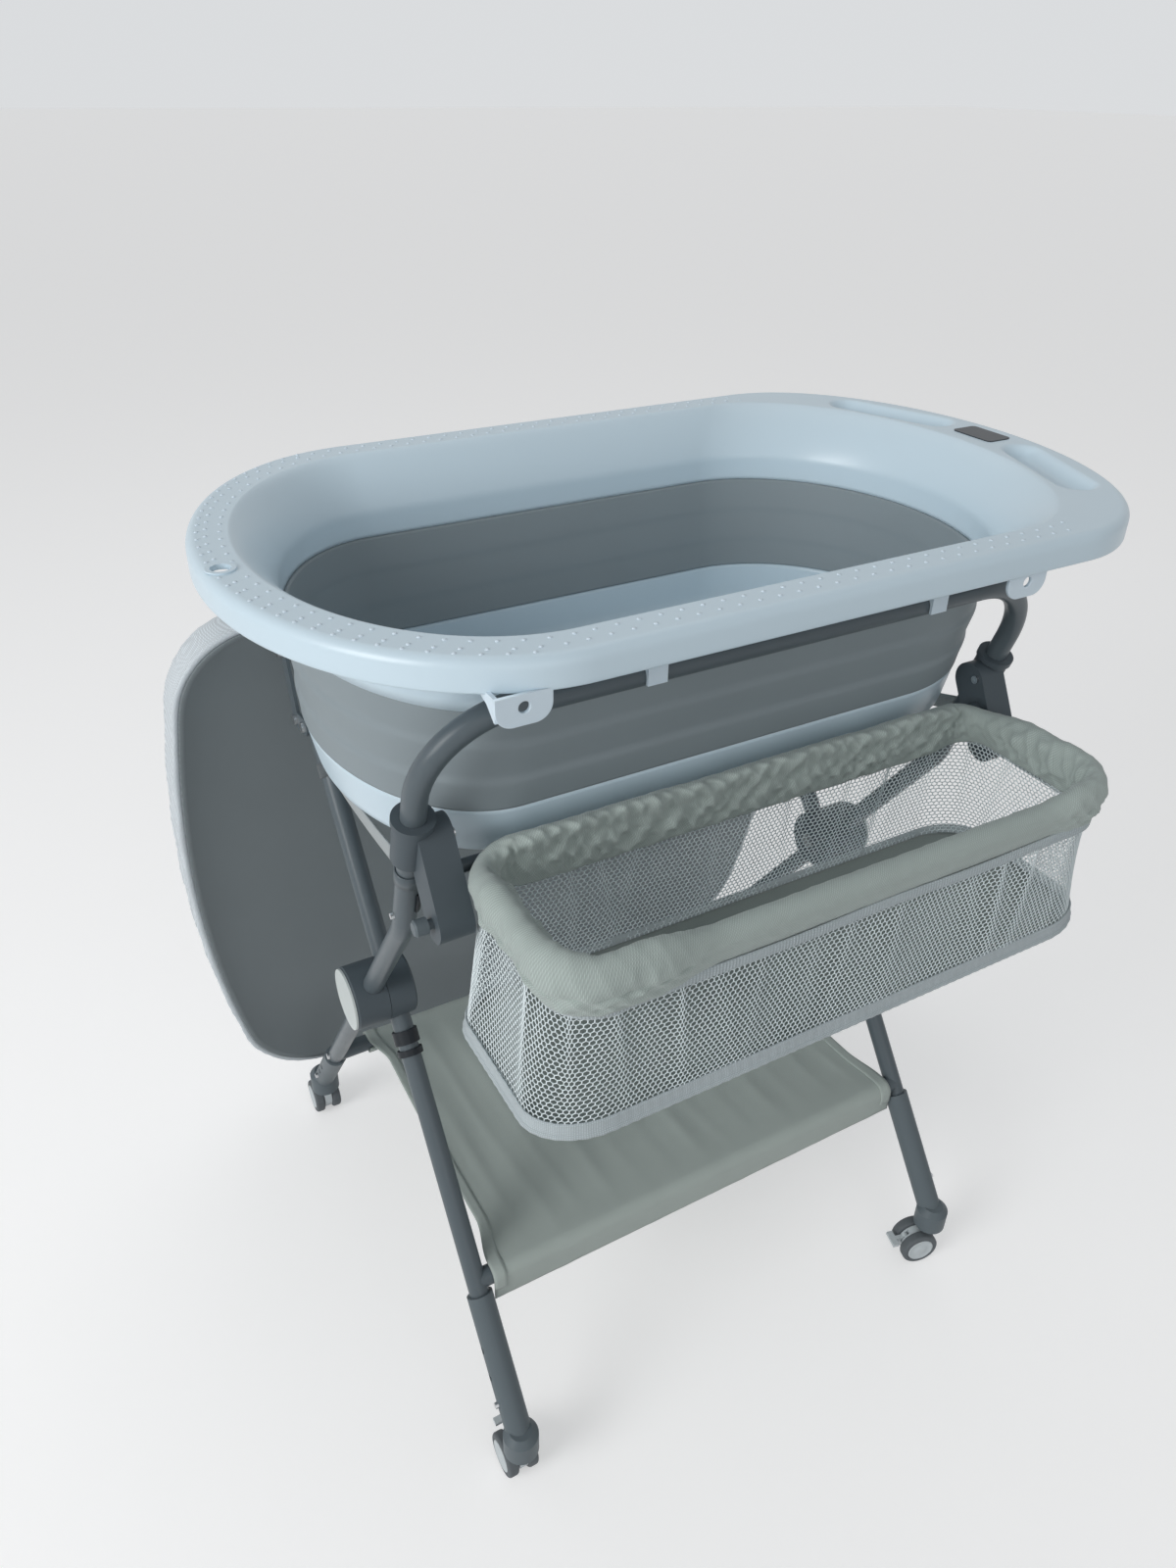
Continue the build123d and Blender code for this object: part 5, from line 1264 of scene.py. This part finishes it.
for end, hand in ((-1, "left"), (1, "right")):
    front = np.array([stand_x + end * OUTER_HALF, stand_y + upper_y, FRONT_HEIGHT])
    back = inner_leg_point(BACK_HEIGHT, end * INNER_HALF)
    run = back - front
    length = np.linalg.norm(run)
    run /= length
    t = np.linspace(LOOP_RADIUS / length, 1 - LOOP_RADIUS / length, 60)
    centre = front + run[None] * (t * length)[:, None]
    centre[:, 2] -= STRAP_SAG * np.sin(np.pi * t)
    clip_middle[0] = front[0]
    clip = arc_band("leg_clip_" + hand, clip_middle, leg_up, 100 if end < 0 else -80)
    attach(clip, "stand")
    if end < 0:
        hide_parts("joint_clips")
    across = leg_up * (1 - t[:, None]) + leg_back * t[:, None]
    across -= (across @ run)[:, None] * run
    across /= np.linalg.norm(across, axis=1)[:, None]
    widths = np.linspace(-STRAP_WIDTH / 2, STRAP_WIDTH / 2, 7)
    ribbon_points = centre[:, None] + across[:, None] * widths[None, :, None]
    ribbon = grid_piece("spread_strap_" + hand, ribbon_points, uv=(t * length, widths),
                        finish=webbing)
    solidify(ribbon, 0.0014, 0.0)
    for middle, way, name, finish in ((front, leg_up, "front", tube_paint),
                                      (back, leg_back, "back", loop_webbing)):
        loop = grid_piece(f"strap_loop_{name}_{hand}", revolved(band, middle, way, LOOP_TURNS),
                          close_rows=True, close_columns=True, flip=True, uv=loop_uv,
                          finish=finish)
        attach(loop, "stand" if name == "front" else "inner_frame")
    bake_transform(ribbon)
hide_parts("spread_straps")
print("strap length", round(length, 4))

# %% [markdown]
# ## Hanging panel
# Behind the stand hangs a changing panel: a grey sheet that is slightly dished, in a white padded
# surround. Both follow the outline of the CAD board. Its boundary is read from the node's own
# vertices as a radius for every direction from the middle, and rings between the middle and that
# boundary make the faces.

# %% Outline of the panel in its own plane
TILT = math.radians(6.67)
panel_up = np.array([0, -math.sin(TILT), math.cos(TILT)])
panel_out = np.array([0, -math.cos(TILT), -math.sin(TILT)])
board_vertices = np.array([v.co for v in nodes["panel_board"].data.vertices], float)
front_level = (board_vertices @ panel_out).max()
board_middle = (board_vertices.min(0) + board_vertices.max(0)) / 2
panel_origin = board_middle + panel_out * (front_level - board_middle @ panel_out)
PANEL_TURNS = 360
OUTLINE_SHARE = 0.4  # vertices nearer to the middle belong to holes, not to the outline
directions = 2 * np.pi * np.arange(PANEL_TURNS) / PANEL_TURNS


def radius_by_direction(vertices):
    """Radius of the outline in each direction, read between its vertices in the panel's plane."""
    local = vertices - panel_origin
    x, y = local[:, 0], local @ panel_up
    angle, radius = np.arctan2(y, x) % (2 * np.pi), np.hypot(x, y)
    order = np.argsort(angle)
    angle, radius = angle[order], radius[order]
    keep = radius > OUTLINE_SHARE * radius.max()
    angle, radius = angle[keep], radius[keep]
    return np.interp(directions, angle, radius, period=2 * np.pi)


front_board = board_vertices[np.abs(board_vertices @ panel_out - front_level) < 0.0005]
board_radius = radius_by_direction(front_board)
print("panel outline radius", round(board_radius.min(), 4), round(board_radius.max(), 4))


def panel_points(radius, depth):
    """Points at a radius in every direction and a depth behind the front face."""
    x, y = radius * np.cos(directions), radius * np.sin(directions)
    return (panel_origin + x[:, None] * np.array([1.0, 0, 0]) + y[:, None] * panel_up
            - np.broadcast_to(np.asarray(depth), x.shape)[:, None] * panel_out)


# %% Dished grey face
DISH = 0.013
face_shrink = np.concatenate([np.linspace(1, 0.8, 16), np.linspace(0.8, 0.02, 20)[1:]])
face_rows = []
for shrink_now in face_shrink:
    inside = (1 - shrink_now) * board_radius
    depth = 0.0012 + DISH * (1 - np.exp(-inside / 0.030))
    face_rows.append(panel_points(board_radius * shrink_now, depth))
face_points = np.array(face_rows)
panel_face = grid_piece("panel_face", face_points, close_columns=True,
                        extra_faces=[end_face(len(face_points), PANEL_TURNS)[::-1]],
                        finish=panel_gray)
project_uv(panel_face, face_points, panel_origin, panel_up)
solidify(panel_face, 0.003, -1.0)
smooth_all(panel_face)
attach(panel_face, "panel")
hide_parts("panel_board")

# %% White padded surround
PAD_LIP = 0.0062
pad_section = [(-0.0012, 0.0040), (-0.0006, 0.0008), (0.0012, -0.0002), (0.0036, -0.0004),
               (PAD_LIP - 0.0004, 0.0008), (PAD_LIP, 0.0032), (PAD_LIP - 0.0010, 0.0062),
               (PAD_LIP - 0.0014, 0.0080), (PAD_LIP - 0.0006, 0.0105), (PAD_LIP, 0.016),
               (PAD_LIP + 0.0008, 0.024), (PAD_LIP + 0.0004, 0.032), (PAD_LIP - 0.0018, 0.0385),
               (PAD_LIP - 0.0060, 0.0450), (PAD_LIP - 0.0125, 0.0502), (PAD_LIP - 0.021, 0.0532)]
pad_rows = [panel_points(board_radius + out, depth) for out, depth in pad_section]
back_start = board_radius + PAD_LIP - 0.021
for shrink_now in np.linspace(1, 0.03, 26)[1:]:
    crown = 0.0532 + 0.0016 * (1 - shrink_now ** 3)
    quilt = 0.0006 * np.sin(directions * 11 + shrink_now * 9)
    pad_rows.append(panel_points(back_start * shrink_now, crown + quilt * shrink_now))
pad_points = np.array(pad_rows)
pucker = 0.0004 * np.sin(directions * 150) + 0.0005 * np.sin(directions * 37 + 1)
pad_points[4:13] += (np.cos(directions)[None, :, None] * np.array([1.0, 0, 0])
                     + np.sin(directions)[None, :, None] * panel_up) * pucker[None, :, None]
pad = grid_piece("panel_surround", pad_points, close_columns=True,
                 extra_faces=[end_face(len(pad_points), PANEL_TURNS)[::-1]], finish=panel_white)
project_uv(pad, pad_points, panel_origin, panel_up)
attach(pad, "panel")
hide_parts("panel_pad")
print("panel triangles", triangles(panel_face), triangles(pad))

# %% [markdown]
# ## Floor, light and camera
# The floor is one large pale plane, and the world lights everything softly from all round, less
# from above than from the sides. A wide lamp on the left gives the tub its brighter left side, and
# two weak ones lift the front and the top. Rays that show the background see a plain pale one. The
# camera stands where the photograph was taken: its place and turn were fitted to points of the
# stand, and a small shift centres the frame.

# %% Floor


def background_rays(tree):
    """1 for the rays that show the background: seen by the camera, in gloss or through glass."""
    path = add_node(tree, "LightPath")
    total = path.outputs["Is Camera Ray"]
    for kind in ("Is Glossy Ray", "Is Transmission Ray"):
        total = add_node(tree, "Math", {}, {0: total, 1: path.outputs[kind]},
                         operation="ADD", use_clamp=True).outputs["Value"]
    return total


FLOOR_HALF = 40.0
FLOOR_TONE, FLOOR_GLOW = 0.66, 0.42
floor_mesh = np.array([[[-FLOOR_HALF, -FLOOR_HALF, 0], [-FLOOR_HALF, FLOOR_HALF, 0]],
                       [[FLOOR_HALF, -FLOOR_HALF, 0], [FLOOR_HALF, FLOOR_HALF, 0]]], float)
ground = grid_piece("floor", floor_mesh, smooth=False)
floor_paint = moulded("floor_paint", (FLOOR_TONE,) * 3, rough=(0.8, 0.9), spread=0.01,
                      grain=(60, 0.0001, 0.1))
floor_tree = floor_paint.node_tree
glow = add_node(floor_tree, "Math", {1: FLOOR_GLOW}, {0: background_rays(floor_tree)},
                operation="MULTIPLY")
floor_shader = floor_tree.nodes["Principled BSDF"]
floor_shader.inputs["Emission Color"].default_value = (1, 1, 1, 1)
floor_tree.links.new(glow.outputs["Value"], floor_shader.inputs["Emission Strength"])
ground.data.materials.append(floor_paint)

# %% World and lamps
LOW_Z, HIGH_Z = 0.05, 0.85
SIDE_LIGHT, TOP_LIGHT, PLAIN_LIGHT = 0.72, 0.25, 0.757
world = bpy.data.worlds.new("studio")
bpy.context.scene.world = world
world.use_nodes = True
sky = world.node_tree
background = sky.nodes["Background"]
background.inputs["Color"].default_value = (0.93, 0.95, 0.97, 1)
direction = add_node(sky, "TexCoord").outputs["Generated"]
parts = add_node(sky, "SeparateXYZ", {}, {"Vector": direction})
level = add_node(sky, "MapRange", {"From Min": LOW_Z, "From Max": HIGH_Z,
                                   "To Min": SIDE_LIGHT, "To Max": TOP_LIGHT},
                 {"Value": parts.outputs["Z"]})
plain = add_node(sky, "Mix", {"B": PLAIN_LIGHT},
                 {"Factor": background_rays(sky), "A": level.outputs["Result"]})
sky.links.new(plain.outputs["Result"], background.inputs["Strength"])


def soft_lamp(name, place, target, size, power, colour):
    """A square area lamp that looks at a target."""
    data = bpy.data.lights.new(name, "AREA")
    data.shape = "SQUARE"
    data.size = size
    data.energy = power
    data.color = colour
    lamp = bpy.data.objects.new(name, data)
    lamp.location = place
    lamp.rotation_euler = (Vector(target) - Vector(place)).to_track_quat("-Z", "Y").to_euler()
    bpy.context.scene.collection.objects.link(lamp)


soft_lamp("key", (-3.0, -0.7, 1.9), (0, 0, 0.6), 1.6, 54, (1.0, 1.0, 1.0))
soft_lamp("front", (-0.5, -3.0, 1.6), (0, 0, 0.5), 1.8, 8, (1.0, 1.0, 1.0))
soft_lamp("top", (0.6, 1.2, 3.0), (0, 0, 0.7), 2.2, 9, (0.95, 0.98, 1.0))

# %% Camera
FROM_X, FROM_Y, CAMERA_HEIGHT = -0.4956, -0.7926, 1.160  # from the middle of the stand
HEADING, LOOK_DOWN, ROLL = -29.5, 31.65, 0.81
SENSOR = 36
FOCAL_PIXELS, SHIFT_PIXELS, LONG_SIDE = 1157.4, 16.26, 1600
camera_data = bpy.data.cameras.new("photo_camera")
camera = bpy.data.objects.new("photo_camera", camera_data)
bpy.context.scene.collection.objects.link(camera)
camera.location = (stand_x + FROM_X, stand_y + FROM_Y, CAMERA_HEIGHT)
look = (Matrix.Rotation(math.radians(HEADING), 4, "Z")
        @ Matrix.Rotation(math.radians(90 - LOOK_DOWN), 4, "X")
        @ Matrix.Rotation(math.radians(ROLL), 4, "Z"))
camera.rotation_euler = look.to_euler()
camera_data.lens = SENSOR * FOCAL_PIXELS / LONG_SIDE
camera_data.sensor_width = SENSOR
camera_data.shift_y = -SHIFT_PIXELS / LONG_SIDE
camera_data.clip_start = 0.02
bpy.context.scene.camera = camera
bpy.context.scene.view_settings.view_transform = "Standard"
